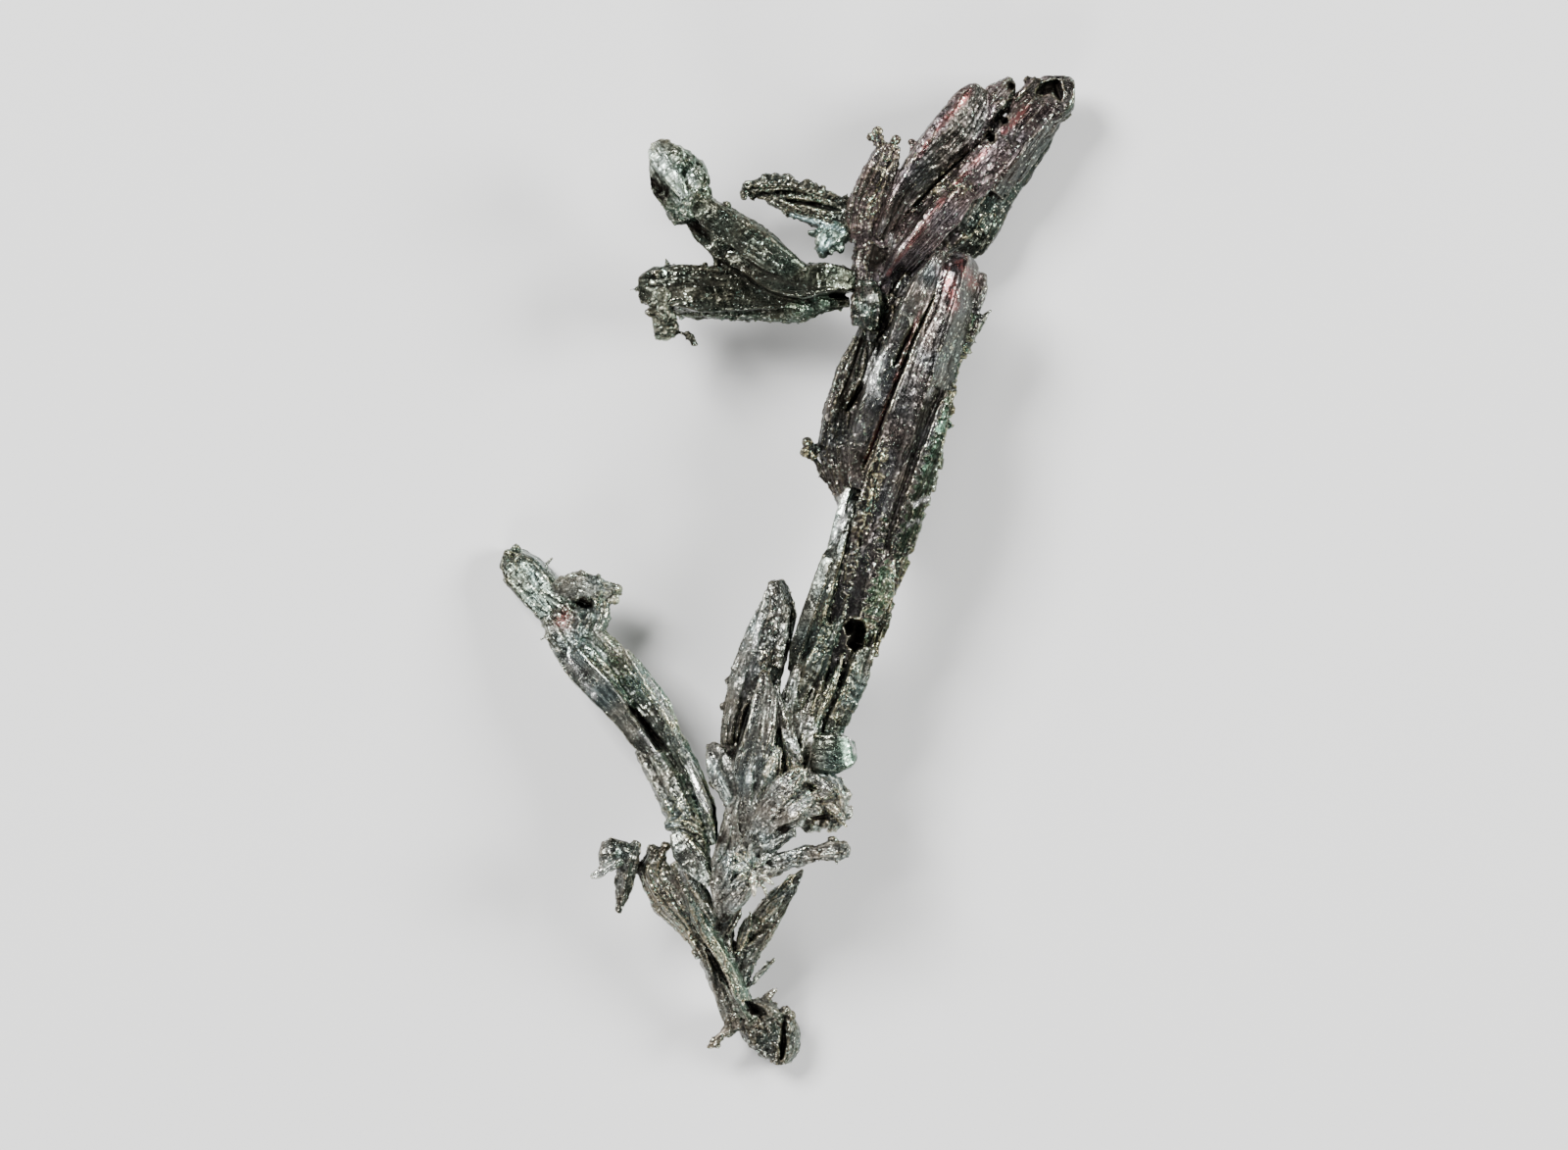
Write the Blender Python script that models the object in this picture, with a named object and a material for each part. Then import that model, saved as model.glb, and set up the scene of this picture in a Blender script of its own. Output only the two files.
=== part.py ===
"""A branching group of dyscrasite crystals, lying on its back on a level surface.

Metres, +Z up. X runs to the right and Y along the specimen, from its wedge-shaped foot to its
upper fan; the origin is under the middle of the group's box, on the surface that it lies on.
Each crystal is a lath: a many-sided section carried along stations of (x, y, z, width, thickness) in
millimetres. Laths and beads that grew together are joined in one solid for each main branch, and a
narrow gap parts the branches at the forks.
"""

import math
import random

import bmesh
import bpy
from mathutils import Matrix, Vector

MM = 0.001
FORK_GAP = 0.3  # mm kept between two branches where they part
FACE_WANDER = 0.07  # share of the half width by which a natural face strays from true
FLOOR_WIDTH = 80.0  # mm, width of the block that trims the resting points flat
FLOOR_DEPTH = 6.0  # mm, its thickness
LEVEL_ANGLE = 6.0  # degrees between facets that count as one
PIT_TAPER = 0.45  # floor radius of a pit over its mouth radius
RESTING = ("lower_stem", "left_branch", "upper_fan")  # the branches that touch the surface below

# Half sections in half widths and half thicknesses, anticlockwise from the right-hand side.
SLAB = (
    (1.0, -0.5), (1.0, 0.45), (0.66, 1.0), (-0.7, 1.0),
    (-1.0, 0.5), (-1.0, -0.45), (-0.66, -1.0), (0.7, -1.0),
)
PRISM = ((1.0, 0.1), (0.55, 0.95), (-0.5, 1.0), (-1.0, -0.1), (-0.55, -0.95), (0.5, -1.0))
NEEDLE = ((1.0, 0.0), (0.1, 1.0), (-1.0, 0.1), (0.0, -1.0))


def lath(section, roll, *stations):
    """One crystal: its section, the turn about its own axis in degrees, and its stations."""
    return {"section": section, "roll": roll, "stations": stations}


# The foot: a spade-shaped crystal with a split, and the stem that climbs from it to the fork.
LOWER_STEM = {
    "stem_ridge": lath(
        PRISM, 0, (-5.6, -14.9, 5.2, 0.5, 0.6), (-4.9, -16.4, 5.1, 0.7, 0.9),
        (-4.2, -18.0, 4.7, 0.85, 1.1), (-3.3, -19.6, 4.1, 0.9, 1.2), (-2.5, -21.1, 3.4, 1.0, 1.3),
        (-2.1, -22.2, 2.9, 1.0, 1.2), (-1.7, -23.0, 2.5, 0.7, 0.8),
    ),
    "stem_rib": lath(
        NEEDLE, 0, (-4.9, -16.9, 5.3, 0.25, 0.4), (-4.1, -18.6, 5.0, 0.35, 0.5),
        (-3.3, -20.3, 4.3, 0.3, 0.5), (-2.8, -21.4, 3.8, 0.15, 0.3),
    ),
    "wide_blade": lath(
        SLAB, -8, (-6.4, -14.2, 4.7, 0.8, 0.8), (-6.7, -15.3, 4.5, 1.8, 1.3),
        (-6.0, -16.8, 4.3, 2.1, 1.5), (-4.85, -18.3, 3.9, 1.6, 1.6), (-3.9, -19.8, 3.4, 1.15, 1.5),
        (-3.2, -21.3, 2.9, 1.05, 1.4), (-2.75, -22.6, 2.4, 1.0, 1.3), (-2.5, -23.5, 2.1, 0.8, 1.0),
    ),
    "inner_blade": lath(
        PRISM, 6, (-5.3, -14.3, 5.6, 0.4, 0.5), (-4.75, -15.6, 5.5, 0.75, 0.8),
        (-4.1, -16.8, 5.2, 0.8, 0.9), (-3.5, -18.0, 4.6, 0.6, 0.8),
    ),
    "rear_stem": lath(
        PRISM, 0, (-3.3, -17.4, 3.9, 1.4, 1.2), (-3.1, -18.8, 3.7, 1.2, 1.3),
        (-2.7, -20.4, 3.2, 0.9, 1.1),
    ),
    "right_wing": lath(
        SLAB, 12, (-2.3, -21.4, 3.0, 0.6, 0.7), (-1.95, -19.9, 3.4, 1.1, 0.9),
        (-1.25, -18.4, 3.8, 1.4, 0.9), (-0.5, -17.2, 4.1, 1.35, 0.8), (0.3, -16.2, 4.3, 0.9, 0.6),
        (1.0, -15.3, 4.5, 0.2, 0.2),
    ),
    "wing_bud": lath(
        PRISM, 0, (-2.3, -19.4, 3.9, 0.35, 0.5), (-1.95, -18.4, 4.3, 0.65, 0.6),
        (-1.65, -17.5, 4.5, 0.2, 0.3),
    ),
    "needle": lath(
        NEEDLE, 0, (-2.1, -21.7, 3.0, 0.26, 0.26), (-1.3, -20.8, 3.3, 0.28, 0.28),
        (-0.7, -20.1, 3.6, 0.34, 0.3), (-0.48, -19.85, 3.7, 0.14, 0.14),
    ),
    "small_leaf": lath(
        NEEDLE, 20, (-1.4, -22.4, 2.3, 0.3, 0.3), (-0.9, -21.9, 2.7, 0.55, 0.26),
        (-0.55, -21.6, 2.9, 0.4, 0.2), (-0.33, -21.43, 3.0, 0.1, 0.1),
    ),
    "spade": lath(
        SLAB, 4, (-2.1, -22.7, 2.2, 1.2, 1.2), (-1.35, -23.3, 1.7, 2.1, 1.8),
        (-0.8, -23.95, 1.1, 2.25, 2.3), (-0.42, -24.75, 0.9, 1.6, 2.2), (-0.25, -25.4, 0.85, 0.5, 1.5),
    ),
    "spade_side": lath(
        PRISM, -8, (-0.1, -22.9, 1.6, 0.9, 1.1), (0.42, -23.5, 1.3, 0.75, 1.5),
        (0.52, -24.1, 1.1, 0.68, 1.7), (0.42, -24.8, 1.0, 0.6, 1.6), (0.12, -25.4, 0.9, 0.22, 1.0),
    ),
    "spade_hollow_rim": lath(
        PRISM, 0, (-2.1, -22.25, 2.9, 0.5, 0.6), (-1.4, -22.3, 2.8, 0.75, 0.9),
        (-0.7, -22.65, 2.5, 0.9, 1.0), (-0.2, -22.9, 2.2, 0.5, 0.6),
    ),
    "foot_spike": lath(
        PRISM, 0, (-2.5, -23.3, 2.1, 0.5, 0.6), (-3.2, -23.9, 2.3, 0.55, 0.5),
        (-3.6, -24.3, 2.4, 0.45, 0.4), (-3.92, -24.62, 2.4, 0.2, 0.2),
    ),
    "knob_link": lath(
        PRISM, 0, (-6.6, -15.7, 4.4, 0.8, 0.8), (-7.3, -15.2, 4.6, 1.1, 0.8),
        (-8.0, -14.95, 4.9, 1.0, 0.7),
    ),
    "knob_plate": lath(
        SLAB, 0, (-7.8, -14.9, 5.1, 0.8, 0.7), (-8.4, -14.65, 5.3, 1.35, 0.75),
        (-9.05, -14.5, 5.4, 1.3, 0.6), (-9.5, -14.5, 5.4, 0.7, 0.4),
    ),
    "knob_fin": lath(
        NEEDLE, 0, (-7.42, -13.88, 5.2, 0.2, 0.4), (-7.75, -14.6, 5.2, 0.5, 1.1),
        (-8.0, -15.6, 5.0, 0.5, 1.2), (-8.2, -16.6, 4.9, 0.5, 0.8), (-8.42, -17.5, 4.8, 0.2, 0.3),
    ),
    "knob_chip": lath(
        PRISM, 25, (-8.4, -15.0, 5.5, 0.5, 0.5), (-9.1, -15.3, 5.8, 0.48, 0.35),
        (-9.78, -15.65, 5.9, 0.18, 0.15),
    ),
}
LOWER_STEM_BEADS = (
    (-6.65, -14.35, 4.9, 0.3), (-6.1, -14.15, 4.9, 0.27), (-4.45, -19.7, 3.6, 0.28),
    (0.05, -22.68, 2.2, 0.28), (0.3, -22.9, 2.0, 0.28), (-7.5, -14.1, 5.3, 0.22),
)

# The burst of blades above the fork. Everything else is parted from it.
CENTRAL_SPRAY = {
    "fan_floor": lath(
        SLAB, 0, (-1.6, -13.9, 6.0, 1.2, 1.0), (-0.5, -12.4, 6.3, 2.6, 1.3),
        (0.5, -11.2, 6.3, 2.9, 1.3), (1.1, -10.5, 6.2, 1.8, 1.0),
    ),
    "core": lath(
        SLAB, 0, (-3.0, -17.7, 5.4, 0.7, 0.7), (-2.9, -16.3, 5.5, 1.7, 1.9),
        (-2.4, -14.4, 5.8, 2.2, 2.5), (-1.8, -12.4, 6.0, 2.3, 2.4), (-1.4, -10.4, 5.9, 2.2, 2.0),
    ),
    "tall_blade": lath(
        SLAB, 8, (-1.8, -11.6, 5.3, 1.9, 1.6), (-1.75, -8.4, 5.5, 2.7, 1.6),
        (-1.35, -5.2, 5.7, 2.25, 1.6), (-0.75, -3.4, 5.8, 2.1, 1.5), (-0.37, -2.2, 5.8, 1.95, 1.3),
        (-0.3, -1.2, 5.8, 1.3, 1.0), (-0.42, -0.55, 5.8, 0.5, 0.5),
    ),
    "tall_blade_left_rib": lath(
        PRISM, -10, (-2.9, -8.8, 6.1, 0.5, 0.6), (-2.3, -5.6, 6.35, 0.75, 0.8),
        (-1.5, -3.3, 6.4, 0.65, 0.7), (-0.85, -1.4, 6.15, 0.35, 0.4),
    ),
    "tall_blade_right_rib": lath(
        PRISM, 10, (-0.35, -5.0, 6.3, 0.4, 0.5), (-0.1, -3.2, 6.35, 0.7, 0.6),
        (0.1, -1.9, 6.2, 0.4, 0.4),
    ),
    "front_blade": lath(
        SLAB, -6, (-1.75, -12.8, 6.7, 1.0, 1.2), (-1.6, -10.2, 7.0, 1.95, 1.5),
        (-1.25, -8.2, 7.1, 1.7, 1.4), (-1.0, -6.5, 7.0, 1.2, 1.1), (-1.02, -5.15, 6.8, 0.3, 0.4),
    ),
    "right_sliver": lath(
        PRISM, 12, (0.5, -10.4, 6.7, 0.8, 0.9), (0.35, -9.1, 6.9, 0.9, 0.9),
        (-0.05, -7.6, 6.9, 0.75, 0.8), (-0.4, -5.9, 6.75, 0.3, 0.4),
    ),
    "gold_lens": lath(
        PRISM, 0, (0.15, -8.5, 7.1, 0.25, 0.4), (0.55, -9.1, 7.25, 0.6, 0.6),
        (0.92, -9.75, 7.0, 0.25, 0.4),
    ),
    "leaf": lath(
        SLAB, -10, (-1.9, -12.9, 6.4, 0.7, 0.8), (-2.6, -11.3, 6.7, 1.4, 1.0),
        (-3.15, -10.2, 6.7, 1.5, 1.0), (-3.55, -9.3, 6.5, 1.0, 0.8), (-3.75, -8.85, 6.4, 0.4, 0.4),
    ),
    "fan_blade_1": lath(
        PRISM, 0, (-1.9, -13.8, 6.8, 0.6, 0.7), (-1.2, -11.9, 7.4, 0.85, 0.8),
        (-0.6, -10.4, 7.6, 0.85, 0.7), (-0.25, -9.1, 7.5, 0.3, 0.35),
    ),
    "fan_blade_2": lath(
        SLAB, 8, (-1.8, -13.9, 6.8, 0.6, 0.8), (-0.8, -12.2, 7.6, 1.05, 0.9),
        (0.1, -11.0, 8.0, 1.25, 0.9), (0.85, -10.15, 8.0, 0.5, 0.45),
    ),
    "fan_blade_3": lath(
        SLAB, 14, (-1.7, -14.1, 6.6, 0.6, 0.8), (-0.5, -12.8, 7.4, 1.0, 0.9),
        (0.6, -12.0, 7.8, 1.35, 1.0), (1.4, -11.45, 7.6, 0.7, 0.7),
    ),
    "fan_blade_4": lath(
        PRISM, 10, (-1.5, -14.4, 6.6, 0.8, 1.1), (-0.2, -13.0, 6.9, 0.8, 0.8),
        (0.6, -12.75, 7.1, 0.8, 0.7), (1.05, -12.85, 7.1, 0.4, 0.4),
    ),
    "fan_sliver": lath(
        NEEDLE, 0, (-2.2, -13.6, 6.9, 0.4, 0.6), (-2.42, -12.4, 7.3, 0.5, 0.6),
        (-2.3, -11.5, 7.3, 0.15, 0.25),
    ),
    "short_blade": lath(
        PRISM, 12, (-1.7, -14.8, 6.8, 0.5, 0.6), (-0.7, -14.0, 7.1, 1.0, 0.8),
        (0.1, -13.45, 7.2, 0.95, 0.7), (0.6, -13.35, 7.2, 0.4, 0.35),
    ),
    "side_twig": lath(
        PRISM, 0, (-1.9, -15.7, 6.5, 0.7, 0.8), (-0.5, -15.05, 7.0, 1.1, 0.9),
        (0.8, -14.6, 7.3, 0.95, 0.8), (1.9, -14.35, 7.5, 0.85, 0.7), (2.8, -14.3, 7.6, 1.0, 0.7),
        (3.35, -14.35, 7.6, 0.4, 0.3),
    ),
    "lens": lath(
        PRISM, 0, (-3.1, -16.0, 6.4, 0.4, 0.5), (-2.8, -15.1, 6.9, 0.85, 0.7),
        (-2.6, -14.2, 6.8, 0.4, 0.5),
    ),
    "lower_blade": lath(
        SLAB, 10, (-3.15, -17.8, 5.7, 0.4, 0.6), (-2.75, -16.9, 6.2, 1.25, 0.9),
        (-2.2, -16.2, 6.6, 1.15, 0.9), (-1.65, -15.4, 6.6, 0.6, 0.6),
    ),
    "crest_1": lath(
        NEEDLE, 0, (-2.35, -15.4, 6.8, 0.3, 0.3), (-1.6, -15.3, 7.3, 0.28, 0.28),
        (-1.1, -15.2, 7.8, 0.12, 0.12),
    ),
    "crest_2": lath(
        NEEDLE, 0, (-2.0, -14.3, 7.2, 0.24, 0.3), (-1.2, -16.1, 7.6, 0.22, 0.22),
    ),
    "crest_3": lath(
        NEEDLE, 0, (-1.6, -15.3, 7.2, 0.3, 0.3), (-1.0, -16.2, 7.3, 0.28, 0.24),
        (-0.8, -16.9, 7.2, 0.12, 0.12),
    ),
    "crust_arc": lath(
        PRISM, 0, (2.2, -10.5, 6.0, 0.8, 1.0), (2.65, -11.2, 6.2, 0.95, 1.2),
        (2.85, -12.0, 6.2, 0.95, 1.2), (2.75, -12.75, 6.1, 0.9, 1.0), (2.5, -13.3, 6.0, 0.5, 0.5),
    ),
    "crust_scroll": lath(
        PRISM, 0, (0.6, -12.1, 6.5, 1.2, 1.2), (1.7, -11.65, 6.6, 1.25, 1.1),
        (2.7, -11.6, 6.3, 0.8, 0.9),
    ),
    "crust_floor": lath(
        PRISM, 0, (0.5, -12.6, 6.4, 0.8, 0.8), (1.5, -12.9, 6.3, 0.8, 0.8), (2.5, -12.8, 6.1, 0.7, 0.8),
    ),
}
CENTRAL_SPRAY_BEADS = (
    (-2.8, -5.7, 5.9, 0.24), (-3.1, -7.0, 5.9, 0.24), (2.45, -13.8, 7.5, 0.28), (3.0, -14.0, 7.6, 0.26),
    (3.15, -11.5, 6.4, 0.28), (3.2, -12.4, 6.4, 0.3), (2.6, -10.75, 6.3, 0.28),
    (1.4, -13.05, 6.6, 0.34), (2.1, -12.95, 6.5, 0.32),
)

# The slanting branch on the left, which sinks towards the surface and rests on its end.
LEFT_BRANCH = {
    "collar": lath(
        SLAB, 6, (-11.7, -2.0, 2.2, 1.6, 1.4), (-11.1, -3.0, 2.5, 2.5, 1.7),
        (-10.4, -4.1, 2.8, 2.2, 1.5), (-9.4, -5.5, 3.5, 1.4, 1.3), (-8.2, -6.9, 4.0, 0.9, 1.0),
    ),
    "end_slab": lath(
        SLAB, 6, (-10.6, -3.3, 2.7, 1.0, 1.2), (-11.5, -2.2, 2.2, 1.95, 1.9),
        (-12.6, -1.0, 1.45, 2.05, 2.2), (-13.4, -0.1, 0.95, 1.95, 2.3), (-13.95, 0.5, 0.85, 1.4, 1.8),
        (-14.2, 0.85, 0.9, 0.7, 0.9),
    ),
    "flake": lath(
        SLAB, -14, (-11.5, -1.2, 2.6, 0.8, 0.8), (-10.6, -0.9, 3.1, 1.55, 0.8),
        (-9.6, -1.15, 3.3, 1.5, 0.7), (-8.85, -1.3, 3.3, 1.1, 0.6), (-8.45, -1.35, 3.3, 0.6, 0.4),
    ),
    "flake_root": lath(
        PRISM, 0, (-10.0, -3.4, 3.0, 1.2, 1.1), (-9.55, -2.4, 3.2, 1.4, 1.0),
        (-9.5, -1.4, 3.2, 1.1, 0.7),
    ),
    "left_slab": lath(
        SLAB, -14, (-11.45, -3.6, 2.4, 1.1, 1.3), (-10.4, -4.85, 3.0, 1.6, 1.8),
        (-9.05, -6.2, 3.6, 1.6, 2.0), (-7.95, -7.6, 4.1, 1.2, 1.8), (-7.15, -8.8, 4.5, 1.0, 1.5),
        (-6.5, -9.6, 4.7, 0.6, 0.9),
    ),
    "right_slab": lath(
        SLAB, 12, (-10.3, -3.1, 2.8, 1.1, 1.2), (-9.15, -3.9, 3.3, 1.8, 1.7),
        (-7.9, -5.3, 3.8, 2.0, 1.9), (-6.6, -7.0, 4.4, 1.7, 1.9), (-5.55, -8.7, 4.8, 1.35, 1.7),
        (-4.7, -10.4, 5.2, 1.25, 1.6), (-4.0, -12.2, 5.5, 1.0, 1.5), (-3.7, -14.0, 5.6, 0.7, 1.1),
    ),
    "upper_rib": lath(
        NEEDLE, 0, (-8.1, -4.2, 4.3, 0.4, 0.5), (-6.95, -6.0, 5.0, 0.45, 0.6),
        (-5.75, -7.9, 5.5, 0.4, 0.5), (-5.15, -9.2, 5.6, 0.3, 0.3),
    ),
    "lower_rib": lath(
        NEEDLE, 0, (-4.7, -10.1, 5.9, 0.4, 0.5), (-4.05, -11.6, 6.2, 0.5, 0.6),
        (-3.6, -13.0, 6.2, 0.35, 0.5),
    ),
    "lower_slab": lath(
        SLAB, -10, (-7.75, -9.2, 4.1, 0.6, 0.9), (-6.9, -10.4, 4.4, 1.4, 1.4),
        (-5.9, -11.9, 4.9, 1.75, 1.7), (-5.1, -13.3, 5.2, 1.8, 1.7), (-4.5, -14.6, 5.4, 1.4, 1.4),
        (-4.0, -15.8, 5.4, 0.7, 0.8),
    ),
    "middle_slab": lath(
        PRISM, 0, (-6.5, -9.5, 5.0, 0.8, 0.9), (-5.6, -11.0, 5.4, 1.1, 1.0),
        (-4.7, -12.8, 5.8, 0.9, 0.9), (-4.3, -13.9, 5.8, 0.5, 0.5),
    ),
    "rolled_end": lath(
        PRISM, 0, (-5.95, -13.05, 5.7, 0.5, 0.6), (-5.3, -12.95, 6.0, 0.75, 0.8),
        (-4.6, -13.2, 6.1, 0.65, 0.7), (-4.1, -13.6, 6.0, 0.3, 0.4),
    ),
    "root_lens": lath(
        SLAB, -8, (-5.4, -13.4, 5.8, 0.8, 0.7), (-4.95, -14.3, 6.0, 1.5, 0.9),
        (-4.4, -15.1, 6.0, 1.3, 0.8), (-3.8, -16.1, 5.8, 0.4, 0.4),
    ),
    "barb": lath(
        NEEDLE, 0, (-11.5, -3.0, 2.4, 0.4, 0.4), (-12.5, -3.65, 2.1, 0.14, 0.16),
    ),
    "curl": lath(
        NEEDLE, 0, (-11.7, -0.9, 2.2, 0.3, 0.3), (-12.15, 0.2, 2.5, 0.22, 0.22),
        (-11.85, 0.55, 2.6, 0.16, 0.16),
    ),
}
LEFT_BRANCH_BEADS = (
    (-14.4, 0.15, 1.1, 0.28), (-14.15, -0.55, 1.1, 0.3), (-13.75, 1.05, 1.1, 0.26),
    (-14.15, 0.75, 1.3, 0.28), (-8.95, -0.8, 3.4, 0.28), (-8.5, -1.1, 3.4, 0.28),
    (-8.65, -1.65, 3.4, 0.26), (-8.5, -3.1, 3.6, 0.26),
)

# The long blade on the right: a thick front slab, slabs beside and behind it, and laths at its root.
MAIN_BLADE = {
    "front_slab": lath(
        SLAB, 22, (2.7, -6.4, 5.3, 1.4, 1.4), (3.1, -4.6, 5.4, 2.4, 2.0), (3.6, -2.5, 5.6, 2.9, 2.4),
        (4.35, 0.0, 5.8, 3.0, 2.5), (5.3, 3.0, 6.0, 2.9, 2.6), (6.0, 5.0, 6.1, 2.9, 2.6),
        (6.8, 8.0, 6.2, 2.8, 2.7), (7.6, 10.5, 6.3, 2.3, 2.5), (8.5, 13.0, 6.3, 1.9, 2.3),
        (9.05, 14.8, 6.2, 1.7, 2.0), (9.25, 15.75, 6.0, 0.9, 1.2),
    ),
    "left_slab": lath(
        SLAB, -6, (4.0, 4.8, 5.6, 0.6, 0.9), (3.95, 7.2, 5.9, 1.25, 1.5), (4.8, 9.5, 6.1, 1.35, 1.7),
        (5.75, 11.6, 6.2, 1.4, 1.8), (6.5, 13.2, 6.2, 1.5, 1.8), (7.4, 14.6, 6.1, 1.5, 1.6),
        (8.25, 15.75, 6.0, 0.8, 1.0),
    ),
    "rear_slab": lath(
        SLAB, -15, (3.7, 2.2, 5.0, 0.9, 1.3), (3.1, 4.2, 4.8, 1.2, 1.5), (2.85, 6.0, 4.7, 1.8, 1.8),
        (3.0, 8.0, 4.8, 1.7, 1.8), (3.6, 10.0, 4.8, 1.5, 1.5), (4.1, 11.5, 4.8, 1.1, 1.2),
        (4.3, 12.2, 4.8, 0.8, 0.9),
    ),
    "rear_rib": lath(
        PRISM, 0, (1.95, 6.2, 5.2, 0.55, 0.9), (2.45, 8.6, 5.3, 0.55, 0.9), (3.05, 10.3, 5.3, 0.5, 0.8),
        (3.7, 11.8, 5.1, 0.35, 0.5),
    ),
    "hanging_blade": lath(
        PRISM, -8, (2.9, 6.3, 5.6, 0.7, 0.8), (3.15, 4.9, 5.5, 0.85, 0.8), (3.3, 3.7, 5.4, 0.5, 0.6),
    ),
    "hanging_barb": lath(
        NEEDLE, 0, (1.55, 5.5, 5.0, 0.4, 0.5), (2.1, 4.7, 5.0, 0.55, 0.6), (2.65, 3.9, 5.1, 0.35, 0.4),
        (3.3, 3.7, 5.2, 0.4, 0.4),
    ),
    "smooth_face_slab": lath(
        SLAB, -28, (3.6, 3.9, 5.9, 0.8, 1.2), (3.05, 1.2, 5.9, 1.3, 1.8), (2.25, -1.0, 5.9, 1.45, 1.9),
        (1.7, -2.6, 5.8, 1.3, 1.8), (1.05, -4.2, 5.7, 1.1, 1.6), (0.45, -5.6, 5.5, 0.5, 0.9),
    ),
    "root_lath_1": lath(
        PRISM, 8, (2.3, -2.8, 5.9, 0.9, 1.2), (1.4, -5.1, 5.9, 1.5, 1.5), (0.8, -6.8, 5.9, 1.15, 1.3),
        (0.5, -8.0, 5.7, 0.9, 1.0), (0.4, -9.0, 5.6, 0.5, 0.7),
    ),
    "root_lath_2": lath(
        PRISM, 0, (2.2, -4.4, 5.6, 0.9, 1.0), (1.6, -6.8, 5.7, 1.3, 1.2), (1.25, -8.8, 5.6, 1.1, 1.0),
    ),
    "gold_rib": lath(
        PRISM, 10, (2.95, -4.4, 6.2, 0.3, 0.6), (2.45, -5.9, 6.4, 0.5, 0.9),
        (1.9, -7.3, 6.4, 0.45, 0.8), (1.35, -8.9, 6.0, 0.3, 0.6),
    ),
    "root_slab": lath(
        SLAB, 15, (3.9, -3.9, 5.5, 1.2, 1.8), (3.4, -5.8, 5.6, 1.65, 2.0), (2.7, -7.4, 5.5, 1.5, 1.8),
        (2.2, -8.9, 5.3, 1.0, 1.4),
    ),
    "side_flank": lath(
        PRISM, 30, (9.5, 13.8, 5.3, 0.9, 1.2), (9.2, 12.2, 5.3, 1.3, 1.4), (8.55, 10.3, 5.3, 1.3, 1.5),
        (8.0, 7.6, 5.3, 1.5, 1.7), (7.1, 4.6, 5.2, 1.5, 1.8), (6.15, 1.6, 5.1, 1.6, 1.7),
        (5.4, -0.8, 5.1, 1.4, 1.5), (4.85, -2.8, 5.1, 1.1, 1.3), (4.4, -4.3, 5.1, 0.7, 1.0),
    ),
    "side_spike": lath(
        PRISM, 10, (8.9, 11.0, 5.5, 0.8, 0.9), (9.75, 12.35, 5.6, 0.7, 0.6),
        (10.53, 13.13, 5.6, 0.12, 0.15),
    ),
    "crown_knob": lath(
        PRISM, 15, (9.6, 13.2, 5.4, 0.9, 1.3), (10.0, 14.3, 5.3, 1.0, 1.3),
        (10.05, 15.05, 5.3, 0.5, 0.7),
    ),
    "root_crystal": lath(
        PRISM, 20, (1.9, -9.2, 5.3, 1.5, 1.3), (2.5, -9.3, 5.5, 2.05, 1.7), (3.2, -9.25, 5.7, 1.8, 1.5),
        (3.65, -9.2, 5.8, 1.0, 0.9),
    ),
    "root_stub": lath(
        PRISM, 0, (1.6, -8.3, 5.7, 0.9, 0.9), (1.65, -8.9, 5.9, 1.3, 1.2), (1.6, -9.6, 5.9, 1.3, 1.2),
        (1.6, -10.1, 5.6, 0.7, 0.8),
    ),
}
MAIN_BLADE_BEADS = (
    (1.2, 6.4, 5.3, 0.34), (1.05, 5.95, 5.3, 0.28), (1.4, 5.7, 5.2, 0.3), (1.72, 6.1, 5.1, 0.32),
    (8.5, 7.3, 5.5, 0.28), (7.4, 3.65, 5.4, 0.26), (8.6, 9.9, 5.5, 0.24), (4.75, -4.1, 5.5, 0.2),
)

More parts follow.
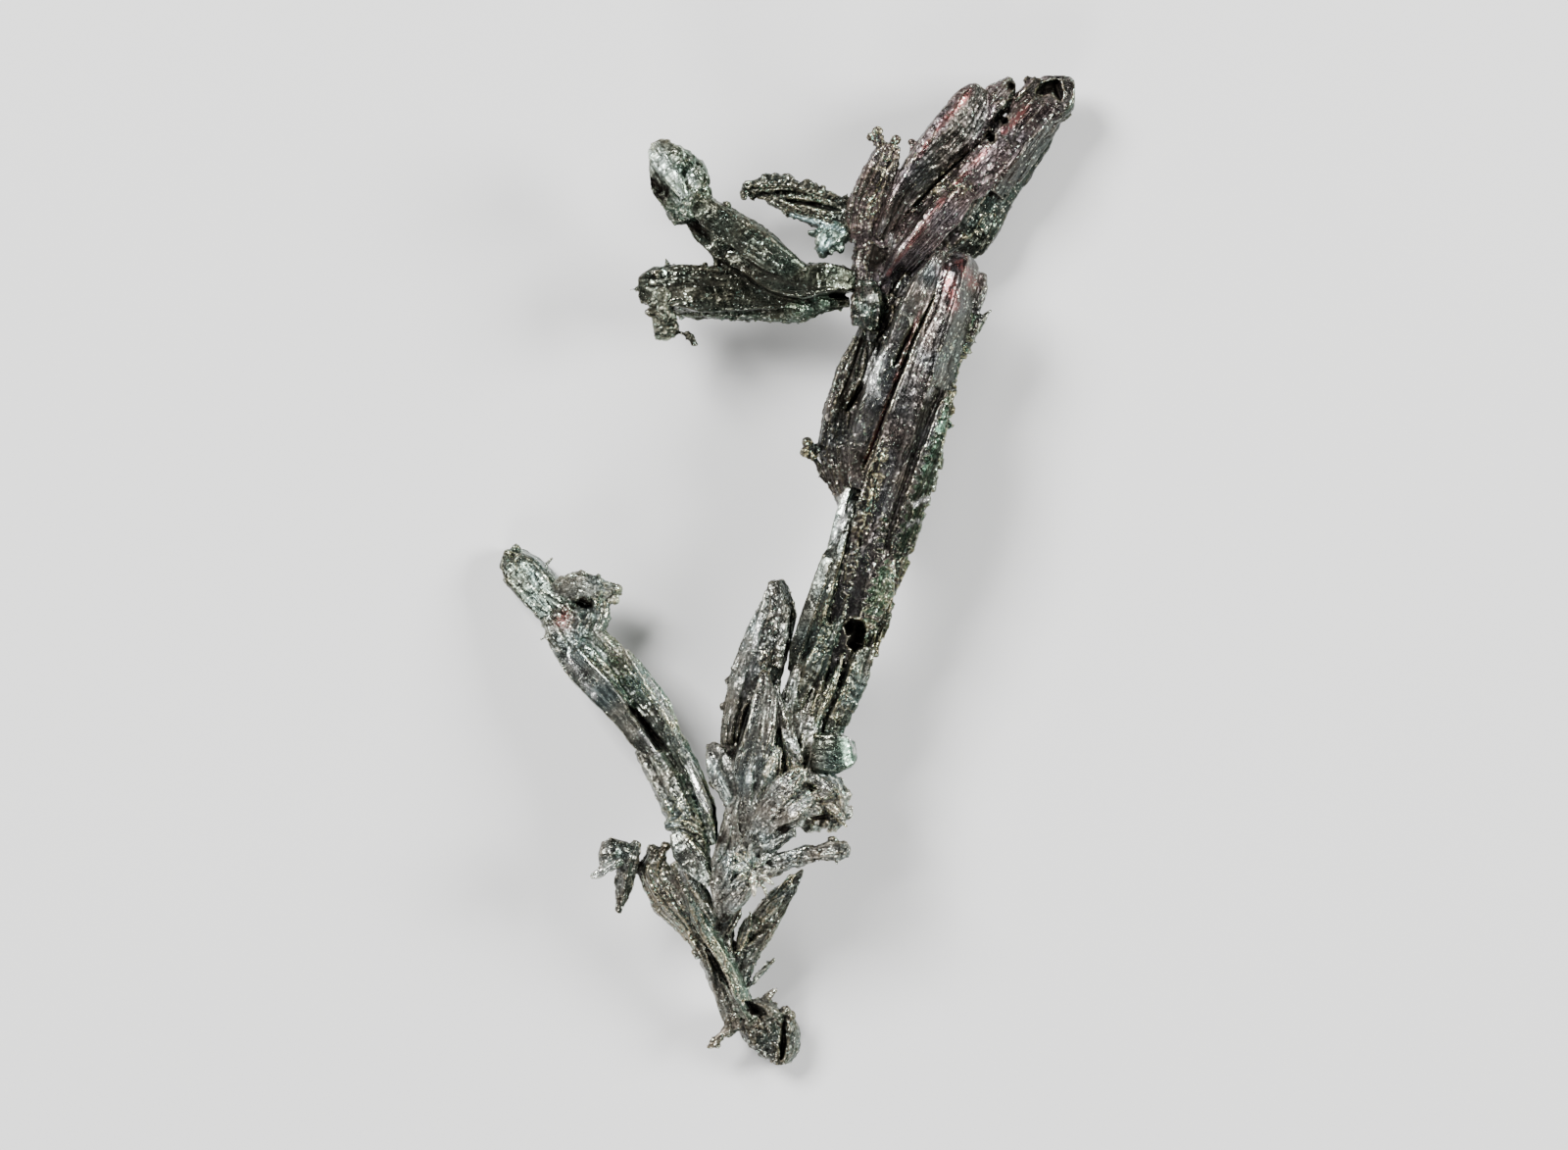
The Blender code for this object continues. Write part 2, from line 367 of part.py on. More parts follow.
# The fan of parallel blades at the top, which leans back until its outermost blade meets the surface.
UPPER_FAN = {
    "outer_root": lath(
        SLAB, 8, (5.3, 14.1, 3.6, 1.2, 1.4), (6.9, 15.8, 3.6, 1.9, 1.7), (8.7, 17.5, 3.3, 2.2, 1.6),
    ),
    "trunk": lath(
        SLAB, 0, (4.6, 12.9, 4.0, 1.1, 1.2), (4.6, 14.2, 4.2, 1.8, 1.7), (4.7, 15.8, 4.1, 2.4, 1.7),
        (5.3, 17.4, 4.0, 2.4, 1.6), (6.4, 18.9, 3.8, 1.8, 1.2),
    ),
    "base_block": lath(
        SLAB, 12, (4.2, 12.35, 5.0, 1.1, 1.2), (4.25, 12.9, 5.1, 1.35, 1.5), (4.3, 13.7, 5.0, 1.3, 1.5),
        (4.3, 14.15, 4.8, 0.9, 1.1),
    ),
    "short_blade": lath(
        SLAB, -15, (4.0, 16.6, 4.4, 1.0, 0.9), (4.1, 18.3, 4.6, 1.35, 1.0), (4.7, 19.8, 4.8, 1.25, 0.9),
        (5.25, 21.0, 4.9, 1.05, 0.8), (5.5, 21.65, 4.9, 0.6, 0.5),
    ),
    "tuft": lath(
        PRISM, 0, (5.1, 21.2, 4.9, 0.6, 0.6), (4.8, 21.8, 4.9, 0.6, 0.5), (4.6, 22.25, 4.9, 0.35, 0.3),
    ),
    "second_blade": lath(
        SLAB, -12, (5.0, 16.7, 4.7, 0.9, 1.1), (5.9, 18.6, 4.8, 1.35, 1.5), (7.3, 20.6, 4.6, 2.2, 1.9),
        (8.7, 22.1, 4.2, 2.7, 2.1), (9.8, 23.3, 3.8, 2.6, 2.0), (10.4, 24.05, 3.5, 1.5, 1.2),
    ),
    "second_blade_back": lath(
        PRISM, 0, (9.6, 22.4, 3.2, 1.4, 1.3), (10.9, 24.0, 3.1, 1.6, 1.1), (11.45, 24.7, 3.0, 1.1, 0.8),
        (11.65, 25.0, 3.0, 0.5, 0.4),
    ),
    "floor_blade": lath(
        SLAB, 0, (6.6, 18.0, 3.2, 1.5, 1.0), (8.6, 20.2, 2.8, 2.0, 1.1), (10.6, 22.3, 2.3, 2.0, 1.1),
        (11.6, 23.2, 2.1, 1.4, 0.9),
    ),
    "outer_slab": lath(
        SLAB, 8, (8.55, 16.6, 3.4, 2.7, 1.7), (9.1, 17.3, 3.3, 3.6, 2.1), (10.0, 18.5, 3.0, 3.5, 2.1),
        (11.0, 19.8, 2.4, 3.2, 2.2), (12.1, 21.1, 1.6, 2.9, 2.4), (13.0, 22.2, 1.05, 2.6, 2.5),
        (13.6, 23.0, 1.1, 1.6, 1.7),
    ),
    "brown_blade": lath(
        SLAB, 8, (5.1, 14.4, 4.6, 0.9, 1.0), (6.2, 15.9, 4.9, 1.25, 1.3), (7.3, 17.2, 4.9, 1.45, 1.4),
        (8.3, 18.5, 4.7, 1.45, 1.3), (8.95, 19.2, 4.4, 0.9, 0.8),
    ),
    "violet_blade": lath(
        SLAB, 10, (8.7, 18.8, 4.4, 1.1, 1.0), (9.5, 19.7, 4.5, 2.0, 1.4), (10.35, 20.75, 4.2, 2.0, 1.4),
        (10.85, 21.5, 3.9, 1.1, 1.0),
    ),
    "crown_blade": lath(
        SLAB, 6, (10.3, 19.5, 3.6, 2.3, 1.5), (11.5, 21.1, 3.5, 2.6, 1.8), (12.7, 22.5, 3.0, 2.45, 1.8),
        (13.5, 23.2, 2.6, 1.9, 1.5), (13.85, 23.6, 2.4, 1.0, 0.9),
    ),
    "hollow_end": lath(
        SLAB, 0, (11.9, 22.6, 2.5, 1.6, 1.5), (12.8, 23.5, 2.5, 2.4, 1.9), (13.6, 24.2, 2.5, 2.6, 2.0),
        (13.85, 24.7, 2.5, 2.1, 1.6), (13.9, 25.15, 2.5, 1.3, 0.9),
    ),
    "ledge": lath(
        PRISM, 0, (9.2, 19.3, 4.7, 0.5, 0.6), (8.2, 19.25, 4.8, 0.55, 0.45),
        (7.65, 19.25, 4.7, 0.2, 0.25),
    ),
}
UPPER_FAN_BEADS = (
    (4.75, 22.2, 4.9, 0.28), (4.5, 21.95, 4.9, 0.24), (5.65, 21.75, 4.9, 0.26),
    (12.45, 24.95, 2.9, 0.26), (6.6, 21.3, 4.6, 0.24), (9.0, 19.1, 4.9, 0.26),
)

# The forked arm that leaves the fan's foot to the left and ends in a bright nugget and a hanging crust.
UPPER_LEFT_ARM = {
    "under_blade": lath(
        SLAB, -6, (-4.9, 18.0, 5.5, 0.6, 0.7), (-4.1, 17.2, 5.3, 1.0, 0.8), (-3.2, 16.3, 5.2, 1.1, 0.8),
        (-2.5, 15.6, 5.1, 0.9, 0.8),
    ),
    "root_slab": lath(
        SLAB, -5, (3.5, 14.6, 4.3, 1.1, 1.3), (2.3, 14.75, 4.8, 1.5, 1.6), (0.8, 14.6, 5.2, 1.8, 1.8),
        (-0.7, 14.9, 5.4, 1.75, 1.7), (-1.9, 15.45, 5.5, 1.25, 1.4), (-2.95, 15.95, 5.5, 0.6, 0.8),
    ),
    "left_slab": lath(
        SLAB, -6, (1.0, 14.0, 4.3, 1.0, 1.4), (-1.2, 14.2, 4.5, 1.4, 1.6), (-3.4, 14.4, 4.6, 1.8, 1.7),
        (-5.4, 14.4, 4.6, 2.05, 1.7), (-6.7, 14.3, 4.5, 1.75, 1.4), (-7.35, 14.25, 4.4, 1.0, 0.8),
    ),
    "hanging_crust": lath(
        PRISM, 0, (-6.1, 13.9, 4.9, 1.1, 1.2), (-6.2, 12.8, 5.0, 1.1, 1.1),
        (-6.05, 12.1, 5.0, 1.0, 0.9), (-5.85, 11.7, 5.0, 0.5, 0.5),
    ),
    "crust_twig": lath(
        NEEDLE, 0, (-6.0, 11.95, 4.9, 0.35, 0.4), (-5.1, 11.95, 4.9, 0.3, 0.32),
        (-4.7, 11.65, 4.9, 0.32, 0.32), (-4.37, 11.38, 4.9, 0.12, 0.12),
    ),
    "rear_sliver": lath(
        PRISM, 0, (-5.4, 12.95, 3.7, 0.3, 0.5), (-3.8, 13.2, 3.8, 0.6, 0.9),
        (-1.6, 13.15, 4.0, 0.85, 1.1), (0.4, 13.2, 4.1, 0.95, 1.1), (2.0, 13.5, 4.2, 0.75, 0.9),
        (3.1, 13.5, 4.2, 0.3, 0.4),
    ),
    "green_crystal_1": lath(
        PRISM, 0, (0.1, 13.35, 4.7, 0.6, 0.6), (0.65, 13.22, 4.9, 0.98, 0.8),
        (1.2, 13.2, 4.7, 0.5, 0.5),
    ),
    "green_crystal_2": lath(
        PRISM, 0, (1.45, 13.6, 4.7, 0.5, 0.5), (1.9, 13.55, 4.8, 0.7, 0.6), (2.35, 13.5, 4.7, 0.4, 0.4),
    ),
    "diagonal_blade": lath(
        SLAB, 12, (0.9, 15.0, 5.6, 0.9, 0.9), (-0.4, 15.75, 6.0, 1.6, 1.3), (-1.7, 16.7, 6.3, 1.7, 1.4),
        (-3.0, 17.55, 6.4, 1.55, 1.3), (-4.1, 18.3, 6.4, 1.2, 1.0), (-4.7, 18.9, 6.4, 0.8, 0.8),
    ),
    "nugget": lath(
        SLAB, 14, (-4.15, 18.35, 6.3, 1.5, 1.3), (-4.8, 19.1, 6.4, 2.7, 2.0),
        (-5.3, 20.0, 6.5, 2.75, 2.2), (-5.8, 20.8, 6.5, 2.1, 1.9), (-6.1, 21.4, 6.4, 1.2, 1.2),
        (-6.18, 21.7, 6.3, 0.5, 0.6),
    ),
    "nugget_chip": lath(
        PRISM, 0, (-4.6, 18.4, 6.0, 0.9, 1.0), (-5.3, 17.95, 5.8, 1.1, 1.0),
        (-5.85, 18.6, 5.9, 0.9, 0.9),
    ),
    "filigree": lath(
        NEEDLE, 0, (-4.15, 16.95, 5.3, 0.2, 0.22), (-3.6, 16.2, 5.2, 0.32, 0.32),
        (-3.3, 15.2, 5.0, 0.4, 0.4),
    ),
    "end_spike": lath(
        NEEDLE, 0, (-6.8, 14.3, 4.6, 0.5, 0.5), (-7.85, 14.2, 4.6, 0.1, 0.1),
    ),
    "top_spike": lath(
        NEEDLE, 0, (-5.9, 14.9, 4.8, 0.5, 0.5), (-6.02, 15.82, 4.9, 0.12, 0.12),
    ),
}
UPPER_LEFT_ARM_BEADS = (
    (-6.7, 13.05, 5.1, 0.28), (-6.45, 12.3, 5.2, 0.3), (-6.0, 11.9, 5.2, 0.3), (-5.6, 12.3, 5.1, 0.3),
    (-5.7, 12.85, 5.3, 0.28), (-4.75, 11.75, 5.0, 0.2), (-2.9, 18.4, 6.5, 0.26),
    (-6.5, 15.0, 5.1, 0.26),
)

# The small arm above it, a ribbed blade under a crest of beads.
UPPER_SIDE_ARM = {
    "ribbed_blade": lath(
        SLAB, -8, (3.8, 17.7, 4.2, 1.2, 1.0), (2.4, 18.1, 4.0, 1.45, 1.0), (1.0, 18.6, 3.8, 1.3, 0.9),
        (-0.2, 19.0, 3.6, 0.9, 0.7), (-1.4, 19.35, 3.5, 0.6, 0.5),
    ),
    "lower_rib": lath(
        PRISM, 0, (3.7, 17.3, 4.4, 0.6, 0.6), (1.8, 17.8, 4.4, 0.6, 0.6), (-0.15, 18.3, 4.2, 0.3, 0.3),
    ),
    "crest": lath(
        PRISM, 0, (3.2, 18.6, 3.9, 0.5, 0.6), (1.9, 19.1, 3.9, 0.65, 0.7), (0.3, 19.55, 3.8, 0.8, 0.8),
        (-1.0, 19.5, 3.7, 1.0, 0.8), (-1.85, 19.35, 3.6, 0.7, 0.5),
    ),
    "pale_crystal": lath(
        PRISM, -10, (3.5, 17.0, 4.5, 0.6, 0.6), (2.5, 16.65, 4.6, 1.15, 0.8),
        (1.75, 16.5, 4.7, 1.25, 0.7), (1.35, 16.55, 4.7, 0.8, 0.4),
    ),
}
UPPER_SIDE_ARM_BEADS = (
    (-1.7, 19.6, 3.8, 0.32), (-0.95, 19.85, 3.8, 0.3), (-0.45, 19.85, 3.9, 0.34),
    (0.3, 19.75, 3.9, 0.26), (1.2, 19.6, 4.0, 0.32), (2.2, 19.1, 4.0, 0.24), (-1.5, 19.1, 3.6, 0.26),
)

# Each branch: its laths, its beads, and the earlier branches that it is parted from.
BRANCHES = {
    "central_spray": (CENTRAL_SPRAY, CENTRAL_SPRAY_BEADS, ()),
    "lower_stem": (LOWER_STEM, LOWER_STEM_BEADS, ("central_spray",)),
    "left_branch": (LEFT_BRANCH, LEFT_BRANCH_BEADS, ("central_spray", "lower_stem")),
    "main_blade": (MAIN_BLADE, MAIN_BLADE_BEADS, ("central_spray",)),
    "upper_fan": (UPPER_FAN, UPPER_FAN_BEADS, ("main_blade",)),
    "upper_left_arm": (UPPER_LEFT_ARM, UPPER_LEFT_ARM_BEADS, ("upper_fan",)),
    "upper_side_arm": (UPPER_SIDE_ARM, UPPER_SIDE_ARM_BEADS, ("upper_fan", "upper_left_arm")),
}

# Pits sunk into a branch: the mouth's centre, the way in, the mouth's radius and the depth, all in mm.
PITS = {
    "main_blade": (((3.62, -3.4, 7.0), (-0.1, 0.1, -1.0), 0.5, 1.5),),
    "upper_fan": (
        ((13.75, 24.35, 3.75), (-0.3, -0.4, -1.0), 0.62, 1.2),
        ((10.55, 21.95, 5.2), (0.0, 0.0, -1.0), 0.22, 2.0),
    ),
    "upper_left_arm": (((-6.45, 19.5, 7.4), (0.5, 0.1, -1.0), 0.55, 0.9),),
}

# Colour, roughness and metallic value of each branch: one silver-grey mineral with a little tarnish.
FINISHES = {
    "central_spray": ((0.30, 0.29, 0.27), 0.42, 1.0),
    "lower_stem": ((0.31, 0.32, 0.29), 0.40, 1.0),
    "left_branch": ((0.27, 0.29, 0.26), 0.38, 1.0),
    "main_blade": ((0.25, 0.24, 0.24), 0.45, 1.0),
    "upper_fan": ((0.22, 0.20, 0.20), 0.45, 1.0),
    "upper_left_arm": ((0.25, 0.25, 0.22), 0.38, 1.0),
    "upper_side_arm": ((0.26, 0.26, 0.23), 0.38, 1.0),
}


def clear_scene():
    for obj in list(bpy.data.objects):
        bpy.data.objects.remove(obj)


def collection(name):
    made = bpy.data.collections.new(name)
    bpy.context.scene.collection.children.link(made)
    return made


def section_frame(direction, roll):
    """The two axes of a section: across the lath, and through it towards the viewer above."""
    across = direction.cross(Vector((0, 0, 1))).normalized()
    through = across.cross(direction)
    angle = math.radians(roll)
    return (
        across * math.cos(angle) + through * math.sin(angle),
        through * math.cos(angle) - across * math.sin(angle),
    )


def station_directions(points):
    """The way the lath runs at each station: along the line between its two neighbours."""
    last = len(points) - 1
    return [(points[min(i + 1, last)] - points[max(i - 1, 0)]).normalized() for i in range(last + 1)]


def place_ring(ring, centre, axes, station, section, wander, grow):
    across, through = axes
    half_width, half_thickness = station[3] / 2 + grow, station[4] / 2 + grow
    for vertex, (u, v), stray in zip(ring, section, wander):
        out = across * (u * half_width * stray) + through * (v * half_thickness * stray)
        vertex.co = (centre + out) * MM


def next_ring(bm, ring, face, is_first):
    """Extrude the end face, and return it with its corners in the order of the ring before.

    The first face stays as the closed beginning, and each later one would be an inner wall.
    """
    grown = bmesh.ops.extrude_face_region(bm, geom=[face])["geom"]
    end = next(item for item in grown if isinstance(item, bmesh.types.BMFace))
    if not is_first:
        bm.faces.remove(face)
    corners = set(end.verts)
    return end, [next(o for o in (e.other_vert(v) for e in v.link_edges) if o in corners) for v in ring]


def lath_mesh(name, crystal, grow=0.0):
    """The crystal as a closed mesh: a filled ring for its first section, extruded from station to station.

    grow is how many millimetres each face stands further out, as on a cutter that leaves a gap.
    """
    section, stations = crystal["section"], crystal["stations"]
    points = [Vector(station[:3]) for station in stations]
    directions = station_directions(points)
    points[0] = points[0] - directions[0] * grow
    points[-1] = points[-1] + directions[-1] * grow
    chance = random.Random(name)
    bm = bmesh.new()
    bmesh.ops.create_circle(bm, cap_ends=True, segments=len(section), radius=MM)
    bm.faces.ensure_lookup_table()
    end = bm.faces[0]
    ring = list(end.verts)
    for index, (point, direction, station) in enumerate(zip(points, directions, stations)):
        if index:
            end, ring = next_ring(bm, ring, end, index == 1)
        wander = [1 + chance.uniform(-FACE_WANDER, FACE_WANDER) for _ in section]
        place_ring(ring, point, section_frame(direction, crystal["roll"]), station, section, wander, grow)
    bmesh.ops.triangulate(bm, faces=bm.faces)
    bmesh.ops.recalc_face_normals(bm, faces=bm.faces)
    mesh = bpy.data.meshes.new(name)
    bm.to_mesh(mesh)
    bm.free()
    return mesh


def bead_mesh(name, bead, grow=0.0):
    """One rounded grain, a low icosphere turned at random."""
    chance = random.Random(name)
    x, y, z, radius = bead
    turn = Matrix.Rotation(chance.uniform(0, math.tau), 4, Vector((chance.random(), chance.random(), 1)))
    bm = bmesh.new()
    place = Matrix.Translation(Vector((x, y, z)) * MM)
    bmesh.ops.create_icosphere(bm, subdivisions=1, radius=(radius + grow) * MM, matrix=place @ turn)
    mesh = bpy.data.meshes.new(name)
    bm.to_mesh(mesh)
    bm.free()
    return mesh


def linked(name, mesh, group, hidden=True):
    obj = bpy.data.objects.new(name, mesh)
    group.objects.link(obj)
    obj.hide_render = hidden
    obj.display_type = "WIRE" if hidden else "TEXTURED"
    return obj


def crystal_meshes(branch, grow=0.0):
    """Every lath and bead of a branch, each a closed mesh of its own."""
    laths, beads, _ = BRANCHES[branch]
    made = [lath_mesh(f"{branch}.{name}", crystal, grow) for name, crystal in laths.items()]
    made += [bead_mesh(f"{branch}.bead_{number:02d}", bead, grow) for number, bead in enumerate(beads)]
    return made


def pit_mesh(name, mouth, way_in, radius, depth):
    """A tapering six-sided pit that starts a little outside the surface."""
    way = Vector(way_in).normalized()
    turn = way.to_track_quat("Z", "Y").to_matrix().to_4x4()
    bm = bmesh.new()
    bmesh.ops.create_cone(
        bm,
        cap_ends=True,
        segments=6,
        radius1=radius * MM,
        radius2=radius * PIT_TAPER * MM,
        depth=depth * MM,
        matrix=Matrix.Translation((Vector(mouth) + way * depth / 2) * MM) @ turn,
    )
    mesh = bpy.data.meshes.new(name)
    bm.to_mesh(mesh)
    bm.free()
    return mesh


def floor_block_mesh():
    """A block whose top is the surface that the group rests on."""
    bm = bmesh.new()
    size = Matrix.Diagonal((FLOOR_WIDTH * MM, FLOOR_WIDTH * MM, FLOOR_DEPTH * MM, 1))
    bmesh.ops.create_cube(bm, size=1.0, matrix=Matrix.Translation((0, 0, -FLOOR_DEPTH / 2 * MM)) @ size)
    mesh = bpy.data.meshes.new("floor_block")
    bm.to_mesh(mesh)
    bm.free()
    return mesh


def boolean(obj, name, operation, group):
    modifier = obj.modifiers.new(name, "BOOLEAN")
    modifier.operation = operation
    modifier.solver = "EXACT"
    modifier.operand_type = "COLLECTION"
    modifier.collection = group
    return modifier


def material(name, finish):
    colour, roughness, metallic = finish
    made = bpy.data.materials.new(name)
    made.use_nodes = True
    shader = made.node_tree.nodes["Principled BSDF"]
    shader.inputs["Base Color"].default_value = (*colour, 1.0)
    shader.inputs["Roughness"].default_value = roughness
    shader.inputs["Metallic"].default_value = metallic
    return made


def build_branch(branch, group):
    """One node: its crystals in one solid, parted from its neighbours, pitted, and flat where it rests."""
    meshes = crystal_meshes(branch)
    obj = linked(branch, meshes[0], group, hidden=False)
    obj.data.materials.append(material(f"{branch}_mineral", FINISHES[branch]))
    grown = collection(f"{branch}_grown_together")
    for mesh in meshes[1:]:
        linked(mesh.name, mesh, grown)
    boolean(obj, "grow_together", "UNION", grown)
    takers = collection(f"{branch}_cutters")
    for neighbour in BRANCHES[branch][2]:
        for mesh in crystal_meshes(neighbour, FORK_GAP):
            linked(f"{mesh.name}.gap", mesh, takers)
    for number, pit in enumerate(PITS.get(branch, ())):
        linked(f"{branch}.pit_{number}", pit_mesh(f"{branch}.pit_{number}", *pit), takers)
    if branch in RESTING:
        linked(f"{branch}.floor_block", floor_block_mesh(), takers)
    if takers.objects:
        boolean(obj, "cut_free", "DIFFERENCE", takers)
    flatten = obj.modifiers.new("merge_level_facets", "DECIMATE")
    flatten.decimate_type = "DISSOLVE"
    flatten.angle_limit = math.radians(LEVEL_ANGLE)
    return obj


def main():
    clear_scene()
    group = collection("dyscrasite_group")
    for branch in BRANCHES:
        build_branch(branch, group)


main()
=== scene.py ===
import math

import bpy
import mathutils
import numpy as np
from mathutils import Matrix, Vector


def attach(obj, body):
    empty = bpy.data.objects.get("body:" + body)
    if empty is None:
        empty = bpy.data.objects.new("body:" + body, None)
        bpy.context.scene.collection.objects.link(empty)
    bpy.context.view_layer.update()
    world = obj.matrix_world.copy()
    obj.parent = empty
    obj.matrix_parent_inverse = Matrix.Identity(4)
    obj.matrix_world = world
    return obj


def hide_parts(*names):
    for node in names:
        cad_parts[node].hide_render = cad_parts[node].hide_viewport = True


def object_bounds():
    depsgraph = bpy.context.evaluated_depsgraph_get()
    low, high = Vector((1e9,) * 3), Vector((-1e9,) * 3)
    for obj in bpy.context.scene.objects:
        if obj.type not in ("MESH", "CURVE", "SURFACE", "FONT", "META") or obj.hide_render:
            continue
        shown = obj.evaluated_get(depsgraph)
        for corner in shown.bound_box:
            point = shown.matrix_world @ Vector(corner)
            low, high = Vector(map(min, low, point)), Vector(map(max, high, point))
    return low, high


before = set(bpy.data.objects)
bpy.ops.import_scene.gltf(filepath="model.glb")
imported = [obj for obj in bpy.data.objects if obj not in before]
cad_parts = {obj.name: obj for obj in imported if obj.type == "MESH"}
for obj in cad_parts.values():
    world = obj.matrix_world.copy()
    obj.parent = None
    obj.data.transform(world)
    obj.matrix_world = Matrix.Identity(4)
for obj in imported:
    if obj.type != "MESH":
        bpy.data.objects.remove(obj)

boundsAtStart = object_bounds()
mm = 0.001
print("stage: frame loaded")

# A branching group of dyscrasite crystals, lying on its back. Lengths below are millimetres.
# Each crystal is a lath: a section, a turn about its own axis in degrees, and stations of
# x, y, z, width and thickness. Beads are x, y, z and radius.

fineness = {
    "sampleStep": 0.11,  # along a lath and round it
    "voxel": 0.072,  # mesh size of the fused skin
    "wanderLength": 1.3,
    "nick": 0.09,  # short notches in the edges
    "nicksPerWander": 5.5,
    "slimmest": 0.06,
    "boxMargin": 0.01,  # how far inside the solids' box everything stays
    "girth": 2.6,  # the way round a section, in its larger sides
    "ownerStep": 0.5,  # along a lath, where points look for the lath that they belong to
    "ownerReach": 0.4,
    "ownerBatch": 4000,  # points looked up at a time
}
noiseApart = {  # steps that keep the noise of neighbours unlike
    "corner": 7.3, "lathSeed": 1.37, "grainSeed": 3.1, "lath": 11.7,
}
cellsPerMm = {  # along, across and through a lath
    "warp": (0.3, 0.9, 0.9), "strand": (0.16, 1.9, 1.9), "stria": (0.55, 5.0, 5.0),
    "fissure": (0.35, 1.0, 1.0), "plate": (0.8, 1.5, 1.5), "ledge": (2.1, 0.85, 0.85),
}
hollowEdgeSize = {  # how deep a hollow or how proud an edge shows in full, in millimetres, by near and far
    "nearRounds": 4, "farRounds": 26, "hollowNear": 0.035, "hollowFar": 0.16, "edgeNear": 0.03,
    "edgeFar": 0.3, "edgeStart": 0.25,
}

# sections in half widths and half thicknesses, anticlockwise from the right-hand side
slab = (
    (1.0, -0.8), (1.0, 0.7), (0.86, 1.0), (-0.9, 1.0),
    (-1.0, 0.8), (-1.0, -0.7), (-0.86, -1.0), (0.9, -1.0),
)
prism = ((1.0, 0.2), (0.6, 1.0), (-0.5, 1.0), (-1.0, -0.1), (-0.6, -1.0), (0.5, -1.0))
needle = ((1.0, 0.0), (0.1, 1.0), (-1.0, 0.1), (0.0, -1.0))
# a flat face whose right side falls away, one with a wider right side, and a ridge near the left
# with a wide slope to the right
sided = (
    (1.0, -0.45), (0.42, 0.95), (0.3, 1.0), (-0.92, 1.0),
    (-1.0, 0.85), (-1.0, -0.75), (-0.88, -1.0), (0.85, -1.0),
)
bladed = (
    (1.0, -0.5), (0.3, 0.93), (0.18, 1.0), (-0.92, 1.0),
    (-1.0, 0.85), (-1.0, -0.75), (-0.88, -1.0), (0.85, -1.0),
)
ridged = (
    (1.0, -0.6), (0.92, -0.25), (-0.3, 0.88), (-0.55, 1.0),
    (-0.88, 0.8), (-1.0, -0.3), (-0.8, -1.0), (0.8, -1.0),
)


def latticeValue(ix, iy, iz, seed):
    # a fixed value from 0 to 1 for each whole-number point, mixed from its three coordinates
    mixed = (ix * 374761393 + iy * 668265263 + iz * 1440662683 + seed * 362437) & 0xFFFFFFFF
    mixed = ((mixed ^ (mixed >> 13)) * 1274126177) & 0xFFFFFFFF
    return ((mixed ^ (mixed >> 16)) & 0xFFFF) / 65535.0


def smoothNoise(points, seed):
    # from -1 to 1: the eight lattice values round each point, blended by 3t^2 - 2t^3 on each axis
    base = np.floor(points).astype(np.int64)
    part = points - base
    part = part * part * (3 - 2 * part)
    total = np.zeros(len(points))
    for dx in (0, 1):
        for dy in (0, 1):
            for dz in (0, 1):
                share = (
                    np.abs(1 - dx - part[:, 0]) * np.abs(1 - dy - part[:, 1]) * np.abs(1 - dz - part[:, 2])
                )
                total += share * latticeValue(base[:, 0] + dx, base[:, 1] + dy, base[:, 2] + dz, seed)
    return total * 2 - 1


def cellPattern(points, seed):
    # one stray point in each unit cell: the way to the nearest, how much farther the second nearest
    # is, and three fixed values from 0 to 1 that belong to the nearest
    base = np.floor(points).astype(np.int64)
    nearest = np.full(len(points), 9.0)
    second = np.full(len(points), 9.0)
    away = np.zeros_like(points)
    owner = np.zeros_like(base)
    for dx in (-1, 0, 1):
        for dy in (-1, 0, 1):
            for dz in (-1, 0, 1):
                cell = base + (dx, dy, dz)
                ix, iy, iz = cell.T
                stray = np.stack([latticeValue(ix, iy, iz, seed + k) for k in (1, 2, 3)], axis=1)
                offset = points - cell - stray
                gap = np.linalg.norm(offset, axis=1)
                closer = gap < nearest
                second = np.where(closer, nearest, np.minimum(second, gap))
                nearest = np.where(closer, gap, nearest)
                away = np.where(closer[:, None], offset, away)
                owner = np.where(closer[:, None], cell, owner)
    ix, iy, iz = owner.T
    chance = np.stack([latticeValue(ix, iy, iz, seed + k) for k in (4, 5, 6)], axis=1)
    return away, second - nearest, chance


def resampled(stations, step):
    # stations spaced evenly along the path: a cubic through them, with slopes from their neighbours
    given = np.array(stations, dtype=float)
    run = np.concatenate([[0], np.cumsum(np.linalg.norm(np.diff(given[:, :3], axis=0), axis=1))])
    slope = np.gradient(given, run, axis=0)
    count = max(int(run[-1] / step), 4)
    at = np.linspace(0, run[-1], count + 1)
    index = np.clip(np.searchsorted(run, at, side="right") - 1, 0, len(run) - 2)
    span = (run[index + 1] - run[index])[:, None]
    t = (at[:, None] - run[index][:, None]) / span
    curve = (
        given[index] * (2 * t**3 - 3 * t**2 + 1)
        + slope[index] * span * (t**3 - 2 * t**2 + t)
        + given[index + 1] * (3 * t**2 - 2 * t**3)
        + slope[index + 1] * span * (t**3 - t**2)
    )
    for column in (3, 4):
        curve[:, column] = np.maximum(np.interp(at, run, given[:, column]), fineness["slimmest"])
    return curve, at


def axesAlong(centres, roll):
    # the way along the path, and the section's own two axes: across it and up through it
    along = np.gradient(centres, axis=0)
    along /= np.linalg.norm(along, axis=1, keepdims=True)
    across = np.cross(along, (0.0, 0.0, 1.0))
    across /= np.linalg.norm(across, axis=1, keepdims=True)
    through = np.cross(across, along)
    c, s = math.cos(math.radians(roll)), math.sin(math.radians(roll))
    return along, across * c + through * s, through * c - across * s


